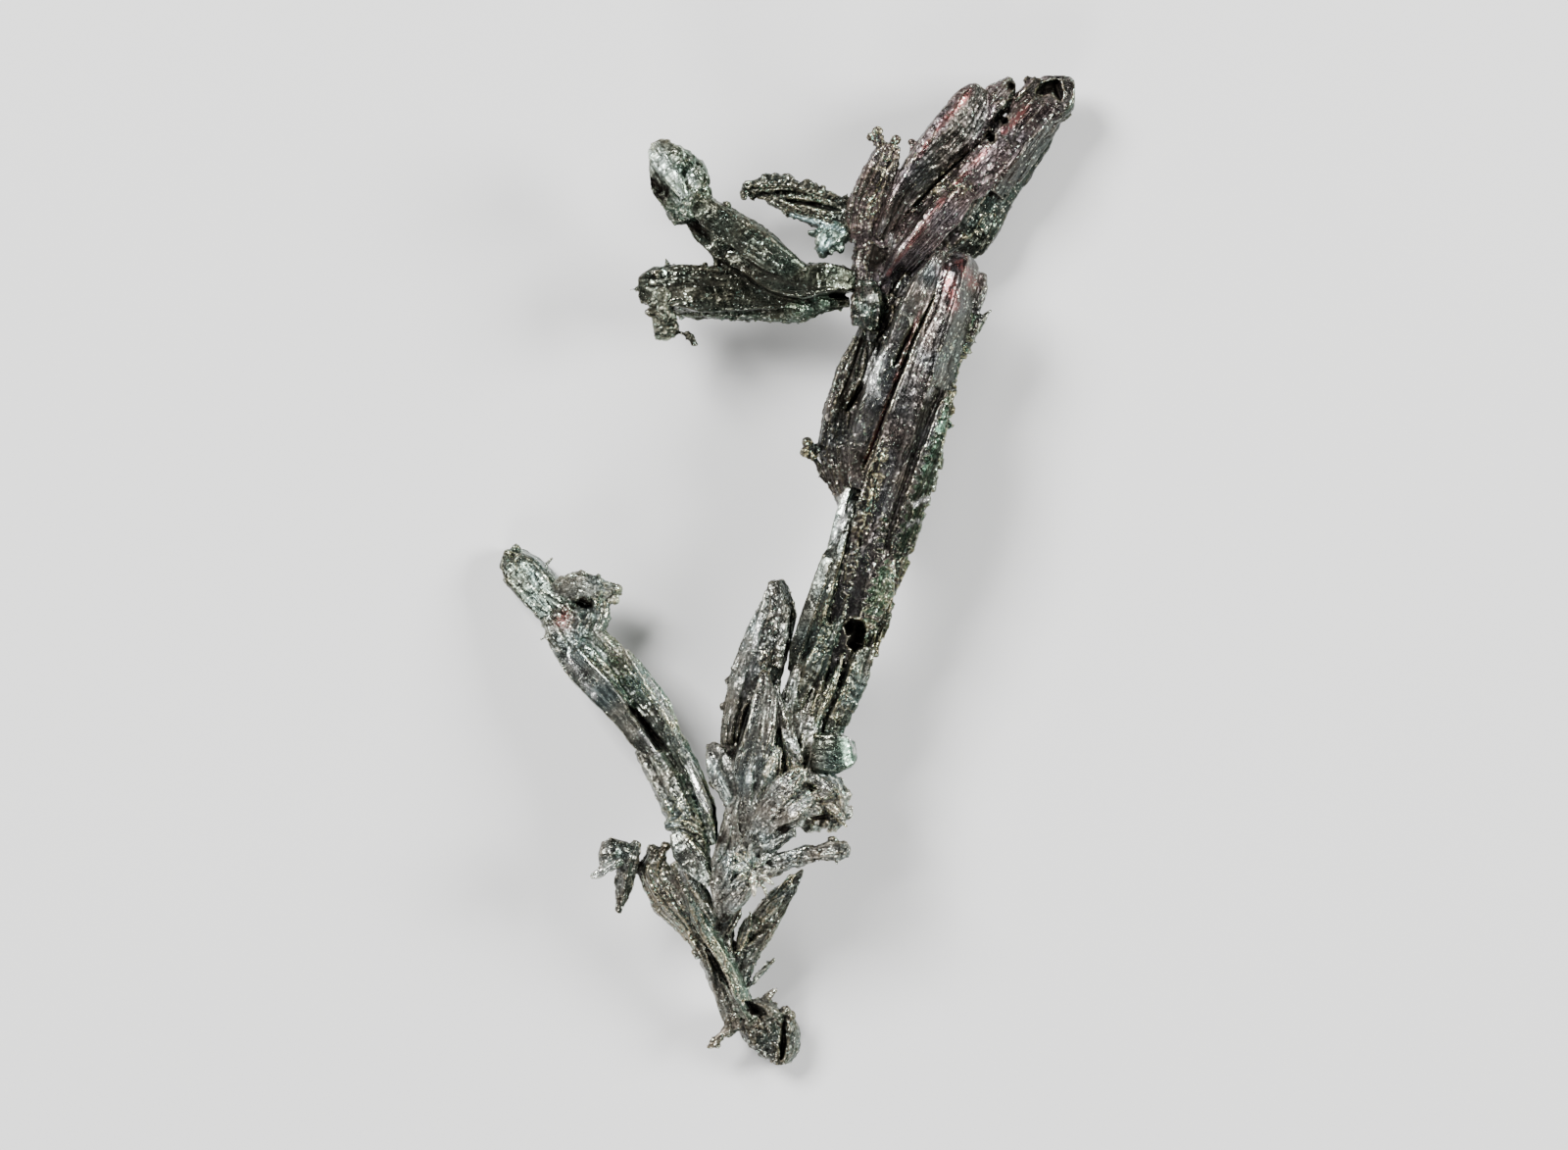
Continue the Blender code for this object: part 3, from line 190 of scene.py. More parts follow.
def lathSurface(section, roll, stations, wander, seed):
    # the section carried along the path: centre + across * u * half width + through * v * half
    # thickness, where each corner of the section strays by a slow noise along the length
    curve, at = resampled(stations, fineness["sampleStep"])
    along, across, through = axesAlong(curve[:, :3], roll)
    corners = np.array(section)
    size = curve[:, 3:5].max()
    perSide = max(int(size * fineness["girth"] / len(section) / fineness["sampleStep"]), 1)
    pieces = np.arange(len(section) * perSide) / perSide
    left = pieces.astype(int)
    blend = (pieces - left)[None, :, None]
    right = (left + 1) % len(section)
    reach = at / fineness["wanderLength"]
    apart = np.arange(len(section)) * noiseApart["corner"]
    grid = np.stack(np.meshgrid(reach, apart, indexing="ij"), -1)
    third = np.full((grid.size // 2, 1), seed * noiseApart["lathSeed"])
    where = np.concatenate([grid.reshape(-1, 2), third], axis=1)
    stray = smoothNoise(where, seed).reshape(grid.shape[:2])[:, :, None]
    closer = where * (fineness["nicksPerWander"], 1.0, 1.0)
    nick = smoothNoise(closer, seed + 1).reshape(grid.shape[:2])[:, :, None]
    nick = nick * fineness["nick"] / curve[:, None, 3:4]
    stray = wander * stray
    ring = corners[None] * (1 + np.concatenate([stray + nick, stray * 0.3], axis=2))
    ring = ring[:, left] * (1 - blend) + ring[:, right] * blend
    half = curve[:, None, 3:5] / 2
    out = across[:, None] * (ring[..., :1] * half[..., :1])
    out = out + through[:, None] * (ring[..., 1:] * half[..., 1:])
    return closedTube(curve[:, None, :3] + out, curve[0, :3], curve[-1, :3])


def closedTube(rings, firstCentre, lastCentre):
    # rings of points, each joined to the next by quads, and closed by a fan round each end's centre
    rows, columns = rings.shape[:2]
    points = np.concatenate([rings.reshape(-1, 3), [firstCentre, lastCentre]])
    i, j = np.meshgrid(np.arange(rows - 1), np.arange(columns), indexing="ij")
    nextJ = (j + 1) % columns
    row, nextRow = i * columns, (i + 1) * columns
    quads = np.stack([row + j, row + nextJ, nextRow + nextJ, nextRow + j], -1).reshape(-1, 4)
    around = np.arange(columns)
    onwards = (around + 1) % columns
    last = (rows - 1) * columns
    start = np.stack([onwards, around, np.full(columns, rows * columns)], 1)
    end = np.stack([last + around, last + onwards, np.full(columns, rows * columns + 1)], 1)
    return points, quads, np.concatenate([start, end])


grainShape = {
    "rows": 6, "columns": 8, "lump": 0.3, "lumpsPerRadius": 1.6,
    "outwards": 0.48,  # from the middle of the lath to its edge, in widths
    "lift": (-0.3, 0.6),  # in half thicknesses
    "sizes": (0.6, 1.35),  # in radii
}


def grainSurface(x, y, z, radius, seed):
    # a lumpy ball: radius * (1 + noise) over turns round the ball and rows from pole to pole
    rows, columns = grainShape["rows"], grainShape["columns"]
    tilt = (np.arange(rows) + 0.5) / rows * math.pi
    turn = np.arange(columns) / columns * math.tau
    tilt, turn = np.meshgrid(tilt, turn, indexing="ij")
    way = np.stack([np.sin(tilt) * np.cos(turn), np.sin(tilt) * np.sin(turn), -np.cos(tilt)], -1)
    where = way.reshape(-1, 3) * grainShape["lumpsPerRadius"] + seed * noiseApart["grainSeed"]
    noise = smoothNoise(where, seed)
    lumpy = 1 + grainShape["lump"] * noise.reshape(rows, columns, 1)
    centre = np.array((x, y, z))
    return closedTube(centre + way * lumpy * radius, centre - (0, 0, radius), centre + (0, 0, radius))


def edgeGrains(stations, roll, sides, perMm, radius, seed):
    # grains strung along a lath's edges: at random stretches of the path, half a width to one side
    chance = np.random.default_rng(seed)
    curve, at = resampled(stations, fineness["sampleStep"])
    along, across, through = axesAlong(curve[:, :3], roll)
    count = int(at[-1] * perMm)
    pick = chance.integers(1, len(curve) - 1, count)
    side = chance.choice(sides, count)[:, None]
    lift = chance.uniform(*grainShape["lift"], (count, 1))
    spot = curve[pick, :3] + across[pick] * side * curve[pick, 3:4] * grainShape["outwards"]
    spot = spot + through[pick] * lift * curve[pick, 4:5] / 2
    sizes = radius * chance.uniform(*grainShape["sizes"], count)
    return [grainSurface(*spot[k], sizes[k], seed + k) for k in range(count)]


def joined(surfaces):
    # several closed surfaces as one list of points and one of faces
    points, quads, triangles, offset = [], [], [], 0
    for p, q, t in surfaces:
        points.append(p)
        quads.append(q + offset)
        triangles.append(t + offset)
        offset += len(p)
    return np.concatenate(points), np.concatenate(quads), np.concatenate(triangles)


def meshFrom(name, points, quads, triangles=None):
    # a mesh with these points, and the faces given as rows of point numbers
    mesh = bpy.data.meshes.new(name)
    triangles = np.zeros((0, 3), dtype=int) if triangles is None else triangles
    loops = np.concatenate([quads.ravel(), triangles.ravel()])
    totals = np.concatenate([np.full(len(quads), 4), np.full(len(triangles), 3)])
    mesh.vertices.add(len(points))
    mesh.vertices.foreach_set("co", points.astype(np.float32).ravel())
    mesh.loops.add(len(loops))
    mesh.loops.foreach_set("vertex_index", loops.astype(np.int32))
    mesh.polygons.add(len(totals))
    mesh.polygons.foreach_set("loop_start", np.concatenate([[0], np.cumsum(totals)[:-1]]).astype(np.int32))
    mesh.update(calc_edges=True)
    return mesh


def fusedSkin(name, surfaces):
    # all the crystals of one branch in a single skin: the outside of their union on a cubic lattice
    points, quads, triangles = joined(surfaces)
    rough = bpy.data.objects.new(name + "Rough", meshFrom(name + "Rough", points, quads, triangles))
    bpy.context.scene.collection.objects.link(rough)
    fuse = rough.modifiers.new("fuse", "REMESH")
    fuse.mode = "VOXEL"
    fuse.voxel_size = fineness["voxel"]
    fuse.adaptivity = 0.0
    ready = rough.evaluated_get(bpy.context.evaluated_depsgraph_get())
    mesh = bpy.data.meshes.new_from_object(ready)
    bpy.data.objects.remove(rough)
    skin = np.empty(len(mesh.vertices) * 3, dtype=np.float32)
    mesh.vertices.foreach_get("co", skin)
    faces = np.empty(len(mesh.loops), dtype=np.int32)
    mesh.loops.foreach_get("vertex_index", faces)
    bpy.data.meshes.remove(mesh)
    return skin.reshape(-1, 3).astype(float), faces.reshape(-1, 4)


def quadSides(quads):
    # the two point numbers at the ends of each quad's four sides
    return np.concatenate([quads[:, [0, 1]], quads[:, [1, 2]], quads[:, [2, 3]], quads[:, [3, 0]]])


def largestIsland(points, quads):
    # drops loose specks: every point takes the lowest number among its neighbours, until none
    # changes, and only the quads with the commonest number stay
    ends = quadSides(quads)
    label = np.arange(len(points))
    while True:
        lowest = label.copy()
        np.minimum.at(lowest, ends[:, 0], label[ends[:, 1]])
        np.minimum.at(lowest, ends[:, 1], label[ends[:, 0]])
        lowest = lowest[lowest]
        if np.array_equal(lowest, label):
            break
        label = lowest
    names, counts = np.unique(label, return_counts=True)
    print("stage: islands", sorted(counts.tolist(), reverse=True)[:6])
    kept = label == names[counts.argmax()]
    renumbered = np.cumsum(kept) - 1
    return points[kept], renumbered[quads[kept[quads[:, 0]]]]


def vertexNormals(points, quads):
    # the sum of the face normals round each point: each quad's is the cross of its diagonals
    crossed = np.cross(points[quads[:, 2]] - points[quads[:, 0]], points[quads[:, 3]] - points[quads[:, 1]])
    normals = np.zeros_like(points)
    for k in range(4):
        for axis in range(3):
            normals[:, axis] += np.bincount(quads[:, k], crossed[:, axis], len(points))
    return normals / np.maximum(np.linalg.norm(normals, axis=1, keepdims=True), 1e-12)


def smoothedOver(values, quads, rounds):
    # each value becomes 0.4 * itself + 0.6 * the mean of its neighbours along the quads' sides,
    # several times
    ends = quadSides(quads)
    count = np.bincount(ends[:, 0], minlength=len(values)) + np.bincount(ends[:, 1], minlength=len(values))
    for _ in range(rounds):
        total = np.zeros_like(values)
        for column in range(values.shape[1]):
            total[:, column] += np.bincount(ends[:, 0], values[ends[:, 1], column], len(values))
            total[:, column] += np.bincount(ends[:, 1], values[ends[:, 0], column], len(values))
        values = 0.4 * values + 0.6 * total / np.maximum(count, 1)[:, None]
    return values


def nearestLath(points, crystals):
    # for each point the closest lath, counted in its own half widths, and the point's place in that
    # lath's frame: how far along, across and through, in millimetres
    rows = []
    for number, (section, roll, stations) in enumerate(crystals.values()):
        curve, at = resampled(stations, fineness["ownerStep"])
        along, across, through = axesAlong(curve[:, :3], roll)
        tag = np.full((len(curve), 1), number)
        rows.append(np.concatenate([curve, along, across, through, at[:, None], tag], axis=1))
    rows = np.concatenate(rows)
    place = np.empty((len(points), 3))
    owner = np.empty(len(points), dtype=int)
    direction = np.empty((len(points), 3))
    batch = fineness["ownerBatch"]
    for start in range(0, len(points), batch):
        chunk = points[start:start + batch]
        gap = chunk[:, None] - rows[None, :, :3]
        run = (gap * rows[None, :, 5:8]).sum(-1)
        side = (gap * rows[None, :, 8:11]).sum(-1)
        up = (gap * rows[None, :, 11:14]).sum(-1)
        reach = (side / rows[:, 3] * 2) ** 2 + (up / rows[:, 4] * 2) ** 2
        reach = reach + (run / fineness["ownerReach"]) ** 2
        best = reach.argmin(1)
        index = np.arange(len(chunk))
        place[start:start + batch] = np.stack(
            [rows[best, 14] + run[index, best], side[index, best], up[index, best]], 1
        )
        owner[start:start + batch] = rows[best, 15]
        direction[start:start + batch] = rows[best, 5:8]
    return place, owner, direction


def perCrystal(values, crystals, owner, usual):
    # for each point, the value given for the crystal that it belongs to, or the usual one
    return np.array([values.get(label, usual) for label in crystals])[owner]


cracks = {
    "bend": 0.12,  # how far the strands wander, in millimetres
    "grooveGap": 0.16, "striaGap": 0.15,  # widths, in cells
    "grooveDark": 0.5, "fissureDark": 0.7, "striaDark": 0.25, "fissureGain": 3, "fissureStart": 0.3,
    "usualLedges": 0.3, "lumpsPerMm": 1.1,
}


def weathered(points, quads, crystals, relief, seed):
    # the skin moved along its normals: each lath is split into strands that stand a little higher or
    # lower with a groove between them, finer striae, short ledges across it, and planes tilted
    # each its own way: long plates and small chips
    normals = vertexNormals(points, quads)
    place, owner, direction = nearestLath(points, crystals)
    place = place + owner[:, None] * noiseApart["lath"]
    calm = perCrystal(relief["calm"], crystals, owner, 1.0)
    warp = smoothNoise(place * cellsPerMm["warp"], seed + 5)[:, None]
    bent = place + warp * (0.0, cracks["bend"], cracks["bend"])
    _, strandGap, strand = cellPattern(bent * cellsPerMm["strand"], seed + 11)
    _, striaGap, stria = cellPattern(bent * cellsPerMm["stria"], seed + 23)
    away, _, chip = cellPattern(points * relief["chipPerMm"] + warp, seed + 37)
    groove = np.clip(1 - strandGap / cracks["grooveGap"], 0, 1)
    opening = smoothNoise(place * cellsPerMm["fissure"], seed + 2)
    fissure = groove * np.clip(opening * cracks["fissureGain"] + cracks["fissureStart"], 0, 1)
    flat, _, plate = cellPattern(bent * cellsPerMm["plate"], seed + 31)
    ledges = perCrystal(relief["ledges"], crystals, owner, cracks["usualLedges"])
    _, _, ledge = cellPattern(bent * cellsPerMm["ledge"], seed + 43)
    lump = smoothNoise(points * cracks["lumpsPerMm"], seed + 6)
    beside = 1 - np.abs((normals * direction).sum(1)) ** 2
    bands = relief["strand"] * (strand[:, 0] - 0.5) - relief["groove"] * groove - relief["fissure"] * fissure
    move = (
        bands * beside
        + relief["stria"] * (stria[:, 0] - 0.5) * beside
        + relief["plate"] * (flat * (plate - 0.5)).sum(1)
        + relief["ledge"] * ledges * (ledge[:, 0] - 0.5)
        + relief["chip"] * (away * (chip - 0.5)).sum(1)
        + relief["chipStep"] * (chip[:, 1] - 0.5)
        + relief["lump"] * lump
    )
    # how dark grooves, fissures and fine striae are painted: painted shade in the creases
    fine = np.clip(1 - striaGap / cracks["striaGap"], 0, 1)
    crack = groove * cracks["grooveDark"] + fissure * cracks["fissureDark"] + fine * cracks["striaDark"]
    crack = np.clip(crack, 0, 1)
    return points + normals * (move * calm)[:, None], crack, strand[:, 1], owner, place, calm


slitShape = {
    "taper": 5, "tip": 0.25,  # full width after a fifth of the length, a quarter of it at the ends
    "wander": 0.35, "wandersPerMm": 1.8, "roundness": 0.7,
}


def carved(points, normals, slits):
    # narrow gaps between laths: the upper side sinks by depth * (1 - (distance / half width)^2)
    # near a line of x, y points
    sink = np.zeros(len(points))
    for line, width, depth in slits:
        line = np.array(line, dtype=float)
        nearest = np.full(len(points), 9.0)
        taper = np.zeros(len(points))
        lengths = np.linalg.norm(np.diff(line, axis=0), axis=1)
        total, run = lengths.sum(), 0.0
        for start, end, length in zip(line[:-1], line[1:], lengths):
            way = (end - start) / length
            t = np.clip((points[:, :2] - start) @ way, 0, length)
            gap = np.linalg.norm(points[:, :2] - start - t[:, None] * way, axis=1)
            closer = gap < nearest
            nearest = np.where(closer, gap, nearest)
            share = (run + t) / total
            widening = slitShape["taper"] * np.minimum(share, 1 - share) + slitShape["tip"]
            taper = np.where(closer, np.minimum(1, widening), taper)
            run += length
        pace = slitShape["wandersPerMm"]
        wander = 1 + slitShape["wander"] * smoothNoise(points * (pace, pace, 0), 77)
        part = nearest / (width / 2 * wander * taper)
        sink = np.maximum(sink, depth * np.clip(1 - part**2, 0, 1) ** slitShape["roundness"])
    return points - np.stack([0 * sink, 0 * sink, sink * np.clip(normals[:, 2] * 2, 0, 1)], 1), sink


masks = {
    "breakDepth": 0.9, "breaksPerMm": 2.6,  # how noise breaks a spot up
    # green is painted on surfaces that face right, standing in for light from that side
    "sideX": 0.9, "sideY": 0.25, "sideNoise": 0.15, "sideNoisePerMm": 0.9,  # which way is the green side
    # crackDark, sinkDark and sinkMost set the painted shade in cracks and slits
    "facingGain": 2.8, "facingStart": 0.15, "crackDark": 0.7, "sinkDark": 1.3, "sinkMost": 0.8,
    "toneLeast": 0.85, "toneRange": 0.3,
}


def spotMask(points, facing, spots):
    # from 0 to 1 round each x, y, radius, or round the line x, y, x, y with a radius:
    # exp(-(distance / radius)^2), broken up by noise, where the surface faces up
    mask = np.zeros(len(points))
    for spot in spots:
        start, end, radius = np.array(spot[:2]), np.array(spot[-3:-1]), spot[-1]
        way = end - start
        t = np.clip((points[:, :2] - start) @ way / max(way @ way, 1e-9), 0, 1)
        gap = np.linalg.norm(points[:, :2] - start - t[:, None] * way, axis=1) / radius
        mask = np.maximum(mask, np.exp(-gap**2))
    broken = 1 + masks["breakDepth"] * smoothNoise(points * masks["breaksPerMm"], 31)
    return np.clip(mask * facing * broken, 0, 1)


def crystalPiece(name, node, crystals, beads, detail):
    # one branch: its crystals, beads and edge grains fused in one skin, weathered and slit, kept in
    # the solids' box, with the values that its finish reads stored at each point
    surfaces = [
        lathSurface(section, roll, stations, detail["wander"], detail["seed"] + 13 * k)
        for k, (section, roll, stations) in enumerate(crystals.values())
    ]
    surfaces += [grainSurface(*bead, detail["seed"] + 500 + k) for k, bead in enumerate(beads)]
    for k, (crystal, sides, perMm, radius) in enumerate(detail["edgeGrains"]):
        section, roll, stations = crystals[crystal]
        surfaces += edgeGrains(stations, roll, sides, perMm, radius, detail["seed"] + 900 + 50 * k)
    points, quads = largestIsland(*fusedSkin(name, surfaces))
    points, crack, cell, owner, place, calm = weathered(points, quads, crystals, detail, detail["seed"])
    points, sink = carved(points, vertexNormals(points, quads), detail["slits"])
    low, high = (np.array(corner) / mm for corner in boundsAtStart)
    points = np.clip(points, low + fineness["boxMargin"], high - fineness["boxMargin"])
    points[:, 2] = np.maximum(points[:, 2], 0.0)

    normals = vertexNormals(points, quads)
    # concave places count as hollow, for the painted shade in them; convex places count as edges, for painted
    # edge highlights and glints
    near = ((smoothedOver(points, quads, hollowEdgeSize["nearRounds"]) - points) * normals).sum(1)
    far = ((smoothedOver(points, quads, hollowEdgeSize["farRounds"]) - points) * normals).sum(1)
    hollow = np.clip(near / hollowEdgeSize["hollowNear"] + far / hollowEdgeSize["hollowFar"], 0, 1)
    edge = np.clip(-near / hollowEdgeSize["edgeNear"] - far / hollowEdgeSize["edgeFar"] - hollowEdgeSize["edgeStart"], 0, 1)
    # green on surfaces facing right: painted light from that side, plus each crystal's own listed green
    green = perCrystal(detail["green"], crystals, owner, 0.0)
    side = normals[:, 0] * masks["sideX"] - normals[:, 1] * masks["sideY"]
    side = side + masks["sideNoise"] * smoothNoise(points * masks["sideNoisePerMm"], 9)
    side = np.clip(side + green, 0, 1)

    mesh = meshFrom(name, points * mm, quads)
    mesh.polygons.foreach_set("use_smooth", np.ones(len(quads), dtype=bool))
    whole = np.ones(len(points))
    facing = np.clip(normals[:, 2] * masks["facingGain"] - masks["facingStart"], 0, 1)
    addColours(mesh, "hollowEdgeSide", np.stack([hollow, edge, side, whole], 1))
    # painted shade: darker in the slits, the grooves and the listed pits, gaps and undersides
    deep = np.clip(sink * masks["sinkDark"], 0, masks["sinkMost"])
    dark = crack * masks["crackDark"] + deep + spotMask(points, facing, detail["dark"])
    dark = np.clip(dark, 0, 1)
    # painted highlights at the listed flash marks
    flash = spotMask(points, facing, detail["flash"])
    addColours(mesh, "marks", np.stack([spotMask(points, facing, detail["red"]), dark, flash, whole], 1))
    chance = masks["toneLeast"] + masks["toneRange"] * latticeValue(owner, owner * 0, owner * 0, 5)
    tone = perCrystal(detail["tone"], crystals, owner, 1.0) * chance
    addColours(mesh, "facet", np.stack([cell, tone, calm, whole], 1))
    # where painted glints gather: more of them, golden rather than silver, on grains tilted further
    mesh.attributes.new("glintZone", "FLOAT", "POINT").data.foreach_set(
        "value", spotMask(points, whole, detail["glintZone"]).astype(np.float32)
    )
    mesh.attributes.new("lathPlace", "FLOAT_VECTOR", "POINT").data.foreach_set(
        "vector", place.astype(np.float32).ravel()
    )
    piece = bpy.data.objects.new(name, mesh)
    bpy.context.scene.collection.objects.link(piece)
    mesh.materials.append(crystalMetal(name, detail))
    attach(piece, "root")
    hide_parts(node)
    print("stage:", name, len(quads) * 2, "triangles")
    return piece


def addColours(mesh, name, values):
    mesh.color_attributes.new(name, "FLOAT_COLOR", "POINT").data.foreach_set(
        "color", values.astype(np.float32).ravel()
    )


def feed(tree, sockets, values):
    # each socket is either linked from another socket or set to a value
    for socket, value in zip(sockets, values):
        if isinstance(value, bpy.types.NodeSocket):
            tree.links.new(value, socket)
        else:
            socket.default_value = value


def addNode(tree, kind, settings=None, **inputs):
    made = tree.nodes.new(kind)
    for key, value in (settings or {}).items():
        setattr(made, key, value)
    feed(tree, [made.inputs[key] for key in inputs], inputs.values())
    return made


def mathNode(tree, operation, *values, clamp=False):
    made = addNode(tree, "ShaderNodeMath", {"operation": operation, "use_clamp": clamp})
    feed(tree, made.inputs, values)
    return made.outputs[0]


def vectorNode(tree, operation, *values):
    made = addNode(tree, "ShaderNodeVectorMath", {"operation": operation})
    feed(tree, made.inputs, values)
    return made.outputs["Value" if operation == "DOT_PRODUCT" else "Vector"]


def mixedColour(tree, factor, first, second, blend="MIX"):
    made = addNode(tree, "ShaderNodeMix", {"data_type": "RGBA", "blend_type": blend})
    feed(tree, [made.inputs[k] for k in (0, 6, 7)], (factor, first, second))
    return made.outputs[2]


def newGroup(name, takes, gives):
    group = bpy.data.node_groups.new(name, "ShaderNodeTree")
    for label, kind, value in takes:
        socket = group.interface.new_socket(label, in_out="INPUT", socket_type=kind)
        socket.default_value = value
    for label, kind in gives:
        group.interface.new_socket(label, in_out="OUTPUT", socket_type=kind)
    return group, group.nodes.new("NodeGroupInput").outputs, group.nodes.new("NodeGroupOutput").inputs


# factor and added amount of each step of the finish that is a straight line
straight = {
    "glintZoneTilt": (0.9, 0.6), "calmTilt": (0.6, 0.4), "cloud": (1.2, 0.4), "strand": (0.6, 0.7),
    "stria": (0.7, 0.65), "calm": (0.7, 0.3), "chance": (1.1, 0.4), "warmth": (3.0, -1.0),
    "edgeHighlight": (0.35, 0.1), "shineLines": (7.0, -3.4), "glintZoneTint": (0.45, 0.45), "flashLines": (6.0, -2.2),
    "redPatch": (4.0, -1.5), "red": (0.5, 0.12), "unshaded": (-0.9, 1.0), "cloudRough": (0.3, -0.15),
    "calmRough": (-0.1, 0.1),
}
surfaceLook = {
    "finerGrains": (1.0, 0.4), "striaStretch": (0.9, 9.0, 9.0), "lineStretch": (1.8, 6.0, 6.0),
    "cloudScale": 900.0, "warmthScale": 520.0, "coolCast": (0.86, 1.02, 1.06, 1),
    "warmCast": (1.08, 1.0, 0.9, 1), "greenGlint": (0.32, 0.66, 0.5, 1), "edgeOdds": 0.5, "glintZoneOdds": 0.35,
    "hollowShade": 0.85, "grainPolish": 0.12, "shadeRough": 0.35,
}


def lineNode(tree, value, step, clamp=False):
    # value * factor + added amount
    return mathNode(tree, "MULTIPLY_ADD", value, *straight[step], clamp=clamp)


def makeGrainGroup():
    # small crystal faces: each cell of a Voronoi pattern is a plane tilted its own way, so the
    # height is (place - cell centre) . (random vector), and fine striae run along each lath
    group, takes, gives = newGroup(
        "crystalGrain",
        (
            ("Grain Per Metre", "NodeSocketFloat", 9000.0),
            ("Tilt", "NodeSocketFloat", 0.6),
            ("Stria Depth", "NodeSocketFloat", 0.00002),
        ),
        (
            ("Height", "NodeSocketFloat"), ("Chance", "NodeSocketFloat"), ("Hue", "NodeSocketFloat"),
            ("Stria", "NodeSocketFloat"),
        ),
    )
    place = addNode(group, "ShaderNodeTexCoord").outputs["Object"]
    glintZone = addNode(group, "ShaderNodeAttribute", {"attribute_name": "glintZone"}).outputs["Fac"]
    facet = addNode(group, "ShaderNodeAttribute", {"attribute_name": "facet"}).outputs["Color"]
    calm = addNode(group, "ShaderNodeSeparateColor", Color=facet).outputs[2]
    tilt = mathNode(group, "MULTIPLY", takes["Tilt"], lineNode(group, glintZone, "glintZoneTilt"))
    tilt = mathNode(group, "MULTIPLY", tilt, lineNode(group, calm, "calmTilt"))
    heights, colours = [], []
    for finer in surfaceLook["finerGrains"]:
        perMetre = mathNode(group, "MULTIPLY", takes["Grain Per Metre"], finer)
        cells = addNode(group, "ShaderNodeTexVoronoi", Vector=place, Scale=perMetre)
        away = vectorNode(group, "SUBTRACT", place, cells.outputs["Position"])
        lean = vectorNode(group, "SUBTRACT", cells.outputs["Color"], (0.5, 0.5, 0.5))
        heights.append(mathNode(group, "MULTIPLY", vectorNode(group, "DOT_PRODUCT", away, lean), tilt))
        colours.append(addNode(group, "ShaderNodeSeparateColor", Color=cells.outputs["Color"]).outputs)
    lath = addNode(group, "ShaderNodeAttribute", {"attribute_name": "lathPlace"}).outputs["Vector"]
    stretched = vectorNode(group, "MULTIPLY", lath, surfaceLook["striaStretch"])
    stria = addNode(group, "ShaderNodeTexNoise", Vector=stretched, Scale=1.0, Detail=3.0).outputs["Fac"]
    depth = mathNode(group, "MULTIPLY", takes["Stria Depth"], calm)
    raised = mathNode(group, "MULTIPLY", mathNode(group, "SUBTRACT", stria, 0.5), depth)
    total = mathNode(group, "ADD", mathNode(group, "ADD", *heights), raised)
    group.links.new(total, gives["Height"])
    group.links.new(colours[0][0], gives["Chance"])
    group.links.new(colours[1][1], gives["Hue"])
    group.links.new(stria, gives["Stria"])
    return group


